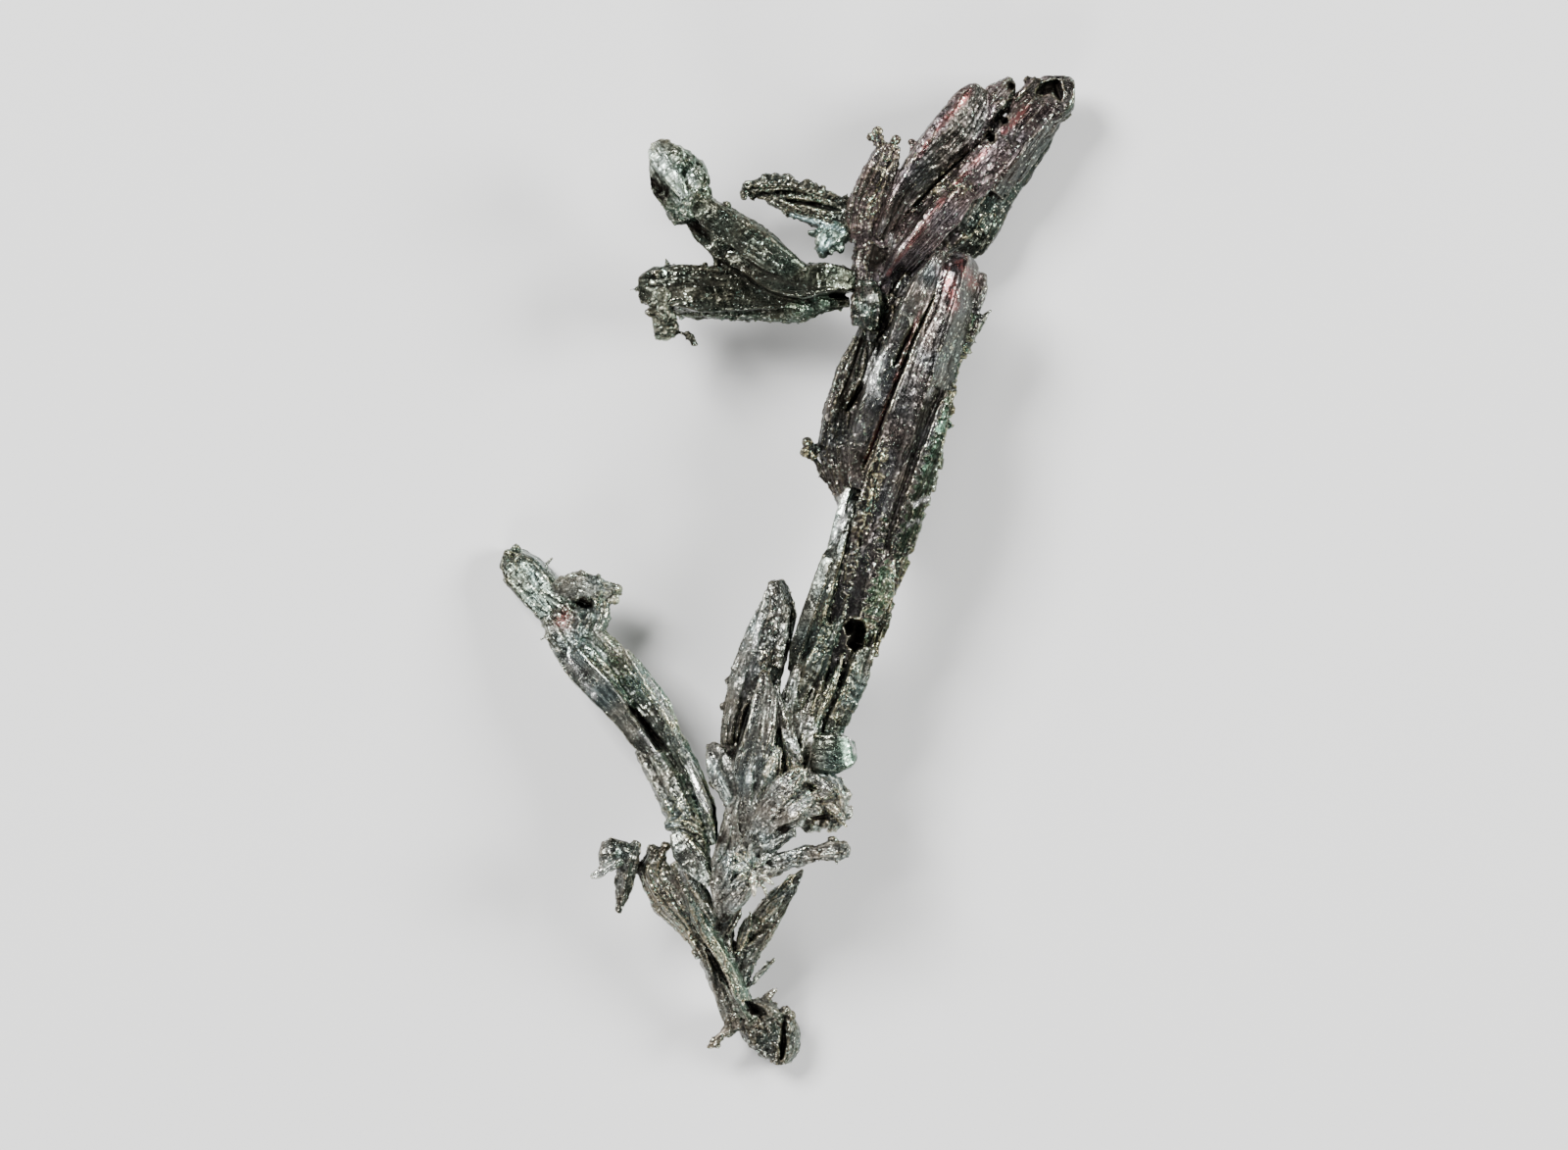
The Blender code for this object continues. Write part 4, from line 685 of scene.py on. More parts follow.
def makeTarnishAndLightGroup():
    # the colour of the metal and painted light on it: grey, mauve on the broad faces and green on the
    # right-hand sides, the green partly painted light from that side; a painted golden highlight on edges,
    # sparse painted glints on grains, painted highlights at the flash marks, and painted shade from brown to
    # black in hollows and cracks
    group, takes, gives = newGroup(
        "silverTarnishAndLight",
        (
            ("Face", "NodeSocketColor", (0.3, 0.3, 0.3, 1)),
            ("Side", "NodeSocketColor", (0.3, 0.3, 0.3, 1)),
            ("Glint", "NodeSocketColor", (0.3, 0.3, 0.3, 1)),
            ("Hollow", "NodeSocketColor", (0.1, 0.1, 0.1, 1)),
            ("Red", "NodeSocketColor", (0.4, 0.1, 0.1, 1)),
            ("Silver", "NodeSocketColor", (0.5, 0.5, 0.5, 1)),
            ("Flash", "NodeSocketColor", (0.8, 0.8, 0.8, 1)),
            ("Chance", "NodeSocketFloat", 0.0),
            ("Hue", "NodeSocketFloat", 0.0),
            ("Stria", "NodeSocketFloat", 0.5),
            ("Rough", "NodeSocketFloat", 0.35),
            ("Sparkle", "NodeSocketFloat", 0.12),
        ),
        (("Color", "NodeSocketColor"), ("Roughness", "NodeSocketFloat")),
    )
    place = addNode(group, "ShaderNodeTexCoord").outputs["Object"]
    hollowEdgeSide = addNode(group, "ShaderNodeAttribute", {"attribute_name": "hollowEdgeSide"}).outputs["Color"]
    marks = addNode(group, "ShaderNodeAttribute", {"attribute_name": "marks"}).outputs["Color"]
    facet = addNode(group, "ShaderNodeAttribute", {"attribute_name": "facet"}).outputs["Color"]
    hollow, edge, side = addNode(group, "ShaderNodeSeparateColor", Color=hollowEdgeSide).outputs
    red, dark, flash = addNode(group, "ShaderNodeSeparateColor", Color=marks).outputs
    strand, lathTone, calm = addNode(group, "ShaderNodeSeparateColor", Color=facet).outputs
    glintZone = addNode(group, "ShaderNodeAttribute", {"attribute_name": "glintZone"}).outputs["Fac"]
    cloud = addNode(group, "ShaderNodeTexNoise", Vector=place, Scale=surfaceLook["cloudScale"], Detail=4.0)
    cloud = cloud.outputs["Fac"]
    warmth = addNode(group, "ShaderNodeTexNoise", Vector=place, Scale=surfaceLook["warmthScale"], Detail=3.0)
    warmth = warmth.outputs["Fac"]
    lath = addNode(group, "ShaderNodeAttribute", {"attribute_name": "lathPlace"}).outputs["Vector"]
    lines = vectorNode(group, "MULTIPLY", lath, surfaceLook["lineStretch"])
    line = addNode(group, "ShaderNodeTexNoise", Vector=lines, Scale=1.0, Detail=4.0, Roughness=0.65)
    line = line.outputs["Fac"]

    # side colour where the surface faces right: partly painted light from that side, partly the crystals' own
    # tint
    colour = mixedColour(group, side, takes["Face"], takes["Side"])
    bright = lineNode(group, cloud, "cloud")
    bright = mathNode(group, "MULTIPLY", bright, lineNode(group, strand, "strand"))
    bright = mathNode(group, "MULTIPLY", bright, lineNode(group, takes["Stria"], "stria"))
    bright = mathNode(group, "SUBTRACT", bright, 1.0)
    bright = mathNode(group, "MULTIPLY_ADD", bright, lineNode(group, calm, "calm"), 1.0)
    bright = mathNode(group, "MULTIPLY", bright, lineNode(group, takes["Chance"], "chance"))
    bright = mathNode(group, "MULTIPLY", bright, lathTone)
    grey = addNode(group, "ShaderNodeCombineColor", Red=bright, Green=bright, Blue=bright).outputs[0]
    colour = mixedColour(group, 1.0, colour, grey, "MULTIPLY")
    warmth = lineNode(group, warmth, "warmth", clamp=True)
    cast = mixedColour(group, warmth, surfaceLook["coolCast"], surfaceLook["warmCast"])
    colour = mixedColour(group, 1.0, colour, cast, "MULTIPLY")
    # a painted highlight: edges tinted toward the glint colour
    edgeHighlight = mathNode(group, "MULTIPLY", lineNode(group, glintZone, "edgeHighlight"), edge)
    colour = mixedColour(group, edgeHighlight, colour, takes["Glint"])
    # a grain is painted as a bright glint where its own chance is high, more of them in lines and along edges
    odds = mathNode(group, "MULTIPLY_ADD", edge, surfaceLook["edgeOdds"], takes["Sparkle"])
    odds = mathNode(group, "MULTIPLY_ADD", glintZone, surfaceLook["glintZoneOdds"], odds)
    odds = mathNode(group, "MULTIPLY", odds, lineNode(group, line, "shineLines", clamp=True))
    shines = mathNode(group, "GREATER_THAN", takes["Chance"], mathNode(group, "SUBTRACT", 1.0, odds))
    tinted = mixedColour(group, takes["Hue"], takes["Glint"], surfaceLook["greenGlint"])
    tinted = mixedColour(group, lineNode(group, glintZone, "glintZoneTint"), takes["Silver"], tinted)
    # painted highlights: the flash marks go toward the flash colour, broken along the lines
    flash = mathNode(group, "MULTIPLY", flash, lineNode(group, line, "flashLines", clamp=True))
    colour = mixedColour(group, flash, colour, takes["Flash"])
    # painted shade: hollows and the dark marks go toward the near-black hollow colour
    paintedShade = mathNode(group, "MULTIPLY", hollow, surfaceLook["hollowShade"])
    paintedShade = mathNode(group, "MAXIMUM", paintedShade, dark, clamp=True)
    colour = mixedColour(group, paintedShade, colour, takes["Hollow"])
    patch = lineNode(group, line, "redPatch", clamp=True)
    red = mathNode(group, "MULTIPLY", red, lineNode(group, patch, "red"))
    colour = mixedColour(group, red, colour, takes["Red"])
    # no painted glints in the painted shade
    shines = mathNode(group, "MULTIPLY", shines, lineNode(group, paintedShade, "unshaded"))
    colour = mixedColour(group, shines, colour, tinted)
    group.links.new(colour, gives["Color"])
    rough = mathNode(group, "ADD", takes["Rough"], lineNode(group, cloud, "cloudRough"))
    polish = mathNode(group, "MULTIPLY", shines, surfaceLook["grainPolish"])
    rough = mathNode(group, "SUBTRACT", rough, polish)
    rough = mathNode(group, "SUBTRACT", rough, lineNode(group, calm, "calmRough"))
    dull = mathNode(group, "MULTIPLY", paintedShade, surfaceLook["shadeRough"])
    rough = mathNode(group, "ADD", rough, dull, clamp=True)
    group.links.new(rough, gives["Roughness"])
    return group


grainGroup = makeGrainGroup()
tarnishAndLightGroup = makeTarnishAndLightGroup()


def crystalMetal(name, look):
    material = bpy.data.materials.new(name + "Metal")
    material.use_nodes = True
    tree = material.node_tree
    tree.nodes.clear()
    grain = addNode(tree, "ShaderNodeGroup", {"node_tree": grainGroup})
    grain.inputs["Grain Per Metre"].default_value = look["grainPerMetre"]
    grain.inputs["Tilt"].default_value = look["tilt"]
    grain.inputs["Stria Depth"].default_value = look["striaDepth"]
    tarnishAndLight = addNode(tree, "ShaderNodeGroup", {"node_tree": tarnishAndLightGroup})
    for label in ("Face", "Side", "Glint", "Hollow", "Red", "Silver", "Flash"):
        tarnishAndLight.inputs[label].default_value = (*look[label.lower() + "Colour"], 1)
    tarnishAndLight.inputs["Rough"].default_value = look["rough"]
    tarnishAndLight.inputs["Sparkle"].default_value = look["sparkle"]
    for label in ("Chance", "Hue", "Stria"):
        tree.links.new(grain.outputs[label], tarnishAndLight.inputs[label])
    bump = addNode(tree, "ShaderNodeBump", Strength=1.0, Distance=1.0, Height=grain.outputs["Height"])
    shader = addNode(
        tree, "ShaderNodeBsdfPrincipled", Metallic=look["metallic"], Normal=bump.outputs["Normal"],
        Roughness=tarnishAndLight.outputs["Roughness"],
    )
    tree.links.new(tarnishAndLight.outputs["Color"], shader.inputs["Base Color"])
    output = addNode(tree, "ShaderNodeOutputMaterial")
    tree.links.new(shader.outputs[0], output.inputs[0])
    return material


print("stage: materials ready")

# What every branch shares: relief in millimetres, and the finish. Each branch changes some of it.
common = {
    "wander": 0.05,  # how far a natural edge strays, as a share of the half width
    "plate": 0.22, "strand": 0.045, "groove": 0.03, "fissure": 0.12, "stria": 0.025, "ledge": 0.16,
    "chip": 0.035,
    "chipStep": 0.014, "lump": 0.02, "chipPerMm": 6.5,
    # a share for each crystal named: of the relief, of the brightness, of the ledges and added green
    "calm": {}, "tone": {}, "ledges": {}, "green": {},
    "edgeGrains": (),  # crystal, its sides from -1 to 1, grains to the millimetre, their radius
    "slits": (),  # a line of x, y points, its width and its depth
    # dark marks paint shade on pits, gaps and undersides, flash marks paint highlights, red is tarnish, and
    # glint zones gather painted glints
    "dark": (), "flash": (), "red": (), "glintZone": (),  # x, y, radius or x, y, x, y, radius
    "grainPerMetre": 13000.0, "tilt": 0.28, "striaDepth": 0.00005, "rough": 0.26, "metallic": 0.97,
    "sparkle": 0.16,
    "faceColour": (0.115, 0.107, 0.104), "sideColour": (0.088, 0.122, 0.105),
    # the glint, silver and flash colours paint highlights; the hollow colour paints shade
    "glintColour": (0.72, 0.62, 0.34),
    "hollowColour": (0.012, 0.010, 0.008), "redColour": (0.32, 0.085, 0.08), "silverColour": (0.5, 0.5, 0.49),
    "flashColour": (0.82, 0.82, 0.8),
}

lowerStemCrystals = {
    "stemRidge": (prism, 0, (
        (-5.6, -14.9, 5.2, 0.5, 0.6), (-4.9, -16.4, 5.1, 0.7, 0.9), (-4.2, -18.0, 4.7, 0.85, 1.1),
        (-3.3, -19.6, 4.1, 0.9, 1.2), (-2.5, -21.1, 3.4, 1.0, 1.3), (-2.1, -22.2, 2.9, 1.0, 1.2),
        (-1.7, -23.0, 2.5, 0.7, 0.8),
    )),
    "stemRib": (needle, 0, (
        (-4.9, -16.9, 5.3, 0.25, 0.4), (-4.1, -18.6, 5.0, 0.35, 0.5), (-3.3, -20.3, 4.3, 0.3, 0.5),
        (-2.8, -21.4, 3.8, 0.15, 0.3),
    )),
    "wideBlade": (sided, -8, (
        (-6.4, -14.2, 4.7, 0.8, 0.8), (-6.65, -15.3, 4.5, 1.75, 1.3), (-5.97, -16.7, 4.3, 2.1, 1.5),
        (-4.75, -18.2, 3.9, 1.6, 1.6), (-3.9, -19.7, 3.4, 1.2, 1.5), (-3.27, -21.3, 2.9, 1.15, 1.4),
        (-2.87, -22.6, 2.4, 1.1, 1.3), (-2.55, -23.5, 2.1, 0.9, 1.0),
    )),
    "innerBlade": (prism, 6, (
        (-5.3, -14.3, 5.6, 0.4, 0.5), (-4.75, -15.6, 5.5, 0.75, 0.8), (-4.1, -16.8, 5.2, 0.8, 0.9),
        (-3.5, -18.0, 4.6, 0.6, 0.8),
    )),
    "rearStem": (prism, 0, (
        (-3.3, -17.4, 3.9, 1.4, 1.2), (-3.1, -18.8, 3.7, 1.2, 1.3), (-2.7, -20.4, 3.2, 0.9, 1.1),
    )),
    "rightWing": (ridged, 12, (
        (-2.3, -21.4, 3.0, 0.7, 0.7), (-1.95, -19.9, 3.4, 1.2, 0.9), (-1.25, -18.4, 3.8, 1.5, 0.9),
        (-0.5, -17.2, 4.1, 1.4, 0.8), (0.3, -16.2, 4.3, 0.9, 0.6), (1.0, -15.3, 4.5, 0.2, 0.2),
    )),
    "wingChip1": (prism, 20, (
        (-1.2, -17.9, 4.2, 0.4, 0.4), (-0.5, -17.2, 4.8, 0.6, 0.4), (0.05, -16.6, 5.0, 0.15, 0.15),
    )),
    "wingChip2": (prism, -15, (
        (-2.0, -19.4, 3.8, 0.4, 0.5), (-1.2, -18.9, 4.3, 0.6, 0.4), (-0.7, -18.4, 4.5, 0.15, 0.15),
    )),
    "wingChip3": (prism, 0, (
        (-2.9, -18.6, 4.3, 0.4, 0.5), (-2.4, -17.7, 4.8, 0.5, 0.5), (-2.1, -17.0, 4.9, 0.15, 0.15),
    )),
    "wingBud": (prism, 0, (
        (-2.3, -19.4, 3.9, 0.35, 0.5), (-1.95, -18.4, 4.3, 0.65, 0.6), (-1.65, -17.5, 4.5, 0.2, 0.3),
    )),
    "needle": (needle, 0, (
        (-2.1, -21.7, 3.0, 0.32, 0.3), (-1.3, -20.8, 3.3, 0.36, 0.3), (-0.7, -20.1, 3.6, 0.42, 0.3),
        (-0.48, -19.85, 3.7, 0.16, 0.14),
    )),
    "smallLeaf": (needle, 20, (
        (-1.4, -22.4, 2.3, 0.3, 0.3), (-0.9, -21.9, 2.7, 0.55, 0.26), (-0.55, -21.6, 2.9, 0.4, 0.2),
        (-0.33, -21.43, 3.0, 0.1, 0.1),
    )),
    "spade": (slab, 4, (
        (-2.1, -22.7, 2.2, 1.2, 1.2), (-1.35, -23.3, 1.7, 2.1, 1.8), (-0.8, -23.95, 1.1, 2.25, 2.3),
        (-0.42, -24.75, 0.9, 1.6, 2.2), (-0.25, -25.4, 0.85, 0.5, 1.5),
    )),
    "spadeSide": (prism, -8, (
        (-0.1, -22.9, 1.6, 0.9, 1.1), (0.42, -23.5, 1.3, 0.75, 1.5), (0.52, -24.1, 1.1, 0.68, 1.7),
        (0.42, -24.8, 1.0, 0.6, 1.6), (0.12, -25.4, 0.9, 0.22, 1.0),
    )),
    "spadeHollowRim": (prism, 0, (
        (-2.1, -22.25, 2.9, 0.5, 0.6), (-1.4, -22.3, 2.8, 0.75, 0.9), (-0.7, -22.65, 2.5, 0.9, 1.0),
        (-0.2, -22.9, 2.2, 0.5, 0.6),
    )),
    "footSpike": (prism, 0, (
        (-2.3, -23.1, 2.1, 0.9, 0.8), (-2.9, -23.7, 2.3, 0.75, 0.6), (-3.5, -24.15, 2.4, 0.55, 0.45),
        (-3.92, -24.55, 2.4, 0.25, 0.2),
    )),
    "knobLink": (prism, 0, (
        (-6.6, -15.7, 4.2, 0.7, 0.7), (-7.3, -15.3, 4.3, 0.7, 0.7), (-8.0, -15.0, 4.8, 0.8, 0.7),
    )),
    "knobPlate": (prism, 0, (
        (-7.9, -14.8, 5.1, 1.0, 0.9), (-8.3, -14.6, 5.2, 1.5, 1.1), (-8.8, -14.5, 5.2, 1.5, 1.1),
        (-9.3, -14.5, 5.2, 1.1, 0.9),
    )),
    "knobFin": (slab, 30, (
        (-7.45, -13.88, 5.2, 0.3, 0.4), (-7.8, -14.6, 5.2, 0.6, 1.1), (-8.05, -15.6, 5.0, 0.65, 1.2),
        (-8.22, -16.6, 4.9, 0.5, 0.8), (-8.42, -17.5, 4.8, 0.2, 0.3),
    )),
    "knobChip": (prism, 25, (
        (-8.5, -14.95, 5.6, 0.55, 0.55), (-9.15, -15.3, 5.9, 0.6, 0.45), (-9.8, -15.65, 6.0, 0.22, 0.2),
    )),
}
lowerStemBeads = (
    (-6.65, -14.35, 4.9, 0.3), (-6.1, -14.15, 4.9, 0.27), (-4.45, -19.7, 3.6, 0.28),
    (0.05, -22.68, 2.2, 0.28), (0.3, -22.9, 2.0, 0.28), (-7.5, -14.1, 5.3, 0.22), (-8.8, -14.5, 5.35, 0.8),
)
crystalPiece("lowerStemCrystals", "lower_stem", lowerStemCrystals, lowerStemBeads, common | {
    "seed": 101,
    "faceColour": (0.15, 0.142, 0.128), "sideColour": (0.1, 0.145, 0.11), "tilt": 0.36, "sparkle": 0.24,
    "silverColour": (0.85, 0.85, 0.82), "glintColour": (0.88, 0.7, 0.4),
    "glintZone": ((-6.8, -15.6, -4.6, -18.8, 0.7), (-5.2, -15.6, -2.1, -22.0, 0.2),
             (-2.3, -19.5, 0.6, -15.5, 0.25)),
    "edgeGrains": (
        ("stemRidge", (-1, 1), 3.0, 0.1), ("wideBlade", (-1,), 4.0, 0.13), ("rearStem", (-1, 1), 2.5, 0.11),
        ("rightWing", (-1, 1), 2.5, 0.09), ("spade", (-1, 1), 2.5, 0.11), ("knobPlate", (-1, 1), 3.0, 0.12),
        ("knobFin", (-1,), 3.0, 0.09), ("spadeHollowRim", (-1, 1), 3.0, 0.12),
        ("footSpike", (-1, 1), 2.0, 0.1),
    ),
    "slits": (
        (((-4.05, -19.1), (-3.4, -20.3), (-2.8, -21.4)), 0.34, 0.55),
        (((0.05, -23.0), (-0.02, -24.2), (-0.15, -25.2)), 0.3, 0.7),
        (((-2.0, -22.1), (-1.4, -22.6), (-0.9, -22.8)), 0.5, 0.5),
    ),
    "calm": {"knobPlate": 0.4, "stemRidge": 0.7, "wideBlade": 0.9},
    # the stem ridge's raised tone and green paint light on its lath edges
    "tone": {"spade": 0.43, "knobFin": 0.7, "knobChip": 2.2, "knobPlate": 0.8, "stemRidge": 1.75},
    "green": {"stemRidge": 0.3},
    "flash": ((-9.6, -15.6, -8.9, -15.2, 0.2), (-5.3, -15.2, -5.0, -15.9, 0.1)),
    "dark": ((-3.1, -18.2, 0.4), (-7.3, -14.6, -7.4, -15.8, 0.25), (-1.5, -22.5, 0.3)),
})

star = {
    "centre": (-1.6, -15.15, 7.2), "bulge": 0.09, "share": 0.6,
    "tips": (
        (-2.55, -14.35, 7.7), (-0.75, -14.4, 7.75), (-2.6, -15.9, 7.5), (-1.45, -16.55, 7.8),
        (-0.5, -16.0, 7.5), (-1.7, -13.9, 7.8), (-2.75, -15.1, 7.6), (-0.45, -15.2, 7.7),
    ),
}


def starNeedles():
    # a needle from the star's centre to each tip, turned 20 degrees more each time, with its widest
    # place at share * the way there and raised by the bulge
    needles = {}
    for k, tip in enumerate(star["tips"], start=1):
        middle = [c + star["share"] * (t - c) for c, t in zip(star["centre"], tip)]
        middle[2] += star["bulge"]
        middle = [round(value, 2) for value in middle]
        stations = ((*star["centre"], 0.5, 0.5), (*middle, 0.46, 0.36), (*tip, 0.16, 0.14))
        needles["starNeedle%d" % k] = (prism, 20 * k, stations)
    return needles


centralSprayCrystals = {
    "fanFloor": (slab, 0, (
        (-1.6, -13.9, 6.0, 1.2, 1.0), (-0.5, -12.4, 6.3, 2.6, 1.3), (0.5, -11.2, 6.3, 2.9, 1.3),
        (1.1, -10.5, 6.2, 1.8, 1.0),
    )),
    "core": (slab, 0, (
        (-3.0, -17.7, 5.4, 0.7, 0.7), (-2.9, -16.3, 5.5, 1.7, 1.9), (-2.4, -14.4, 5.8, 2.2, 2.5),
        (-1.8, -12.4, 6.0, 2.3, 2.4), (-1.4, -10.4, 5.9, 2.2, 2.0),
    )),
    "tallBlade": (sided, 6, (
        (-1.8, -11.6, 5.3, 2.1, 1.6), (-1.75, -8.4, 5.5, 2.8, 1.6), (-1.35, -5.2, 5.7, 2.45, 1.7),
        (-0.75, -3.4, 5.8, 2.3, 1.6), (-0.35, -2.2, 5.8, 2.0, 1.5), (-0.32, -1.2, 5.8, 1.35, 1.2),
        (-0.42, -0.6, 5.8, 0.7, 0.7),
    )),
    "joinLath1": (slab, 10, (
        (1.25, -4.4, 5.5, 1.0, 1.2), (0.75, -6.4, 5.7, 1.5, 1.3), (0.35, -8.2, 5.9, 1.6, 1.3),
        (0.0, -10.0, 6.1, 1.4, 1.2), (-0.3, -11.4, 6.2, 1.0, 1.0),
    )),
    "joinLath2": (prism, -8, (
        (1.6, -7.6, 5.9, 0.8, 0.9), (1.2, -9.2, 6.2, 1.3, 1.1), (0.8, -10.6, 6.3, 1.3, 1.1),
        (0.3, -12.0, 6.2, 0.9, 0.9),
    )),
    "joinRib": (prism, 15, (
        (0.75, -4.9, 6.3, 0.4, 0.5), (0.4, -6.3, 6.6, 0.6, 0.7), (0.15, -7.6, 6.6, 0.3, 0.4),
    )),
    "tallBladeLeftRib": (prism, -10, (
        (-2.9, -8.8, 6.1, 0.5, 0.6), (-2.3, -5.6, 6.35, 0.75, 0.8), (-1.5, -3.3, 6.4, 0.65, 0.7),
        (-0.85, -1.4, 6.15, 0.35, 0.4),
    )),
    "tallBladeRightRib": (prism, 10, (
        (-0.35, -5.0, 6.3, 0.4, 0.5), (-0.1, -3.2, 6.35, 0.7, 0.6), (0.1, -1.9, 6.2, 0.4, 0.4),
    )),
    "frontBlade": (slab, -6, (
        (-1.75, -12.8, 6.7, 1.0, 1.2), (-1.6, -10.2, 7.0, 1.95, 1.5), (-1.25, -8.2, 7.1, 1.7, 1.4),
        (-1.0, -6.5, 7.0, 1.2, 1.1), (-1.02, -5.15, 6.8, 0.3, 0.4),
    )),
    "rightSliver": (prism, 12, (
        (0.5, -10.4, 6.7, 0.8, 0.9), (0.35, -9.1, 6.9, 0.9, 0.9), (-0.05, -7.6, 6.9, 0.75, 0.8),
        (-0.4, -5.9, 6.75, 0.3, 0.4),
    )),
    "goldLens": (prism, 0, (
        (0.15, -8.5, 7.1, 0.25, 0.4), (0.55, -9.1, 7.25, 0.6, 0.6), (0.92, -9.75, 7.0, 0.25, 0.4),
    )),
    "leaf": (slab, -10, (
        (-1.9, -12.9, 6.4, 0.7, 0.8), (-2.6, -11.3, 6.7, 1.4, 1.0), (-3.15, -10.2, 6.7, 1.5, 1.0),
        (-3.55, -9.3, 6.5, 1.0, 0.8), (-3.75, -8.85, 6.4, 0.4, 0.4),
    )),
    "fanBlade1": (ridged, 10, (
        (-1.9, -13.8, 6.8, 0.6, 0.7), (-1.2, -11.9, 7.4, 0.95, 0.8), (-0.6, -10.4, 7.6, 0.9, 0.7),
        (-0.2, -9.0, 7.5, 0.3, 0.35),
    )),
    "fanBlade5": (prism, -20, (
        (-1.6, -13.4, 7.0, 0.4, 0.5), (-0.5, -11.6, 7.9, 0.6, 0.5), (0.3, -10.2, 8.0, 0.2, 0.2),
    )),
    "fanBlade6": (prism, 20, (
        (-1.8, -12.6, 7.2, 0.4, 0.5), (-1.75, -10.8, 7.7, 0.55, 0.5), (-1.6, -9.4, 7.6, 0.15, 0.2),
    )),
    "fanBlade7": (needle, 0, (
        (-1.2, -13.0, 7.4, 0.4, 0.5), (0.1, -12.1, 8.0, 0.5, 0.4), (0.95, -11.6, 8.1, 0.15, 0.15),
    )),
    "fanBlade2": (slab, 8, (
        (-1.8, -13.9, 6.8, 0.6, 0.8), (-0.8, -12.2, 7.6, 1.05, 0.9), (0.1, -11.0, 8.0, 1.25, 0.9),
        (0.85, -10.15, 8.0, 0.5, 0.45),
    )),
    "fanBlade3": (slab, 14, (
        (-1.7, -14.1, 6.6, 0.6, 0.8), (-0.5, -12.8, 7.4, 1.0, 0.9), (0.6, -12.0, 7.8, 1.35, 1.0),
        (1.4, -11.45, 7.6, 0.7, 0.7),
    )),
    "fanBlade4": (prism, 10, (
        (-1.5, -14.4, 6.6, 0.8, 1.1), (-0.2, -13.0, 6.9, 0.8, 0.8), (0.6, -12.75, 7.1, 0.8, 0.7),
        (1.05, -12.85, 7.1, 0.4, 0.4),
    )),
    "fanSliver": (needle, 0, (
        (-2.2, -13.6, 6.9, 0.4, 0.6), (-2.42, -12.4, 7.3, 0.5, 0.6), (-2.3, -11.5, 7.3, 0.15, 0.25),
    )),
    "shortBlade": (prism, 12, (
        (-1.7, -14.8, 6.8, 0.5, 0.6), (-0.7, -14.0, 7.1, 1.0, 0.8), (0.1, -13.45, 7.2, 0.95, 0.7),
        (0.6, -13.35, 7.2, 0.4, 0.35),
    )),
    "sideTwig": (sided, 0, (
        (-1.9, -15.7, 6.5, 0.7, 0.8), (-0.5, -15.05, 7.0, 1.1, 0.9), (0.8, -14.6, 7.3, 0.95, 0.8),
        (1.9, -14.35, 7.5, 0.85, 0.7), (2.8, -14.3, 7.6, 1.0, 0.7), (3.35, -14.35, 7.6, 0.4, 0.3),
    )),
    **starNeedles(),
    "lens": (prism, 0, (
        (-3.1, -16.0, 6.4, 0.4, 0.5), (-2.8, -15.1, 6.9, 0.85, 0.7), (-2.6, -14.2, 6.8, 0.4, 0.5),
    )),
    "lowerBlade": (slab, 10, (
        (-3.15, -17.8, 5.7, 0.4, 0.6), (-2.75, -16.9, 6.2, 1.25, 0.9), (-2.2, -16.2, 6.6, 1.15, 0.9),
        (-1.65, -15.4, 6.6, 0.6, 0.6),
    )),
    "crest1": (needle, 0, (
        (-2.35, -15.4, 6.8, 0.3, 0.3), (-1.6, -15.3, 7.3, 0.28, 0.28), (-1.1, -15.2, 7.8, 0.12, 0.12),
    )),
    "crest2": (needle, 0, (
        (-2.0, -14.3, 7.2, 0.24, 0.3), (-1.2, -16.1, 7.6, 0.22, 0.22),
    )),
    "crest3": (needle, 0, (
        (-1.6, -15.3, 7.2, 0.3, 0.3), (-1.0, -16.2, 7.3, 0.28, 0.24), (-0.8, -16.9, 7.2, 0.12, 0.12),
    )),
    "crustArc": (prism, 0, (
        (2.2, -10.5, 6.0, 0.8, 1.0), (2.65, -11.2, 6.2, 0.95, 1.2), (2.85, -12.0, 6.2, 0.95, 1.2),
        (2.75, -12.75, 6.1, 0.9, 1.0), (2.5, -13.3, 6.0, 0.5, 0.5),
    )),
    "crustScroll": (prism, 0, (
        (0.6, -12.1, 6.5, 1.2, 1.2), (1.7, -11.65, 6.6, 1.25, 1.1), (2.7, -11.6, 6.3, 0.8, 0.9),
    )),
    "crustBack": (slab, 0, (
        (0.8, -11.0, 5.9, 1.2, 0.9), (1.6, -11.2, 5.9, 2.2, 1.0), (2.4, -11.8, 5.9, 2.2, 1.0),
        (2.9, -12.3, 5.9, 1.1, 0.8),
    )),
    "crustLeaf1": (slab, 25, (
        (1.2, -10.6, 6.4, 0.5, 0.5), (1.9, -10.9, 6.9, 0.9, 0.5), (2.5, -11.2, 7.1, 0.4, 0.3),
    )),
    "crustLeaf2": (slab, -25, (
        (0.4, -11.9, 7.0, 0.5, 0.5), (1.2, -12.2, 7.3, 0.8, 0.5), (1.9, -12.3, 7.3, 0.3, 0.3),
    )),
    "crustLeaf3": (prism, 0, (
        (2.2, -12.0, 6.6, 0.5, 0.5), (2.9, -12.6, 6.8, 0.6, 0.5), (3.2, -13.1, 6.7, 0.2, 0.2),
    )),
    "crustFloor": (prism, 0, (
        (0.5, -12.6, 6.4, 0.8, 0.8), (1.5, -12.9, 6.3, 0.8, 0.8), (2.5, -12.8, 6.1, 0.7, 0.8),
    )),
}
centralSprayBeads = (
    (-2.8, -5.7, 5.9, 0.24), (-3.1, -7.0, 5.9, 0.24), (2.45, -13.8, 7.5, 0.28), (3.0, -14.0, 7.6, 0.26),
    (3.15, -11.5, 6.4, 0.28), (3.2, -12.4, 6.4, 0.3), (2.6, -10.75, 6.3, 0.28),
    (1.4, -13.05, 6.6, 0.34), (2.1, -12.95, 6.5, 0.32),
)
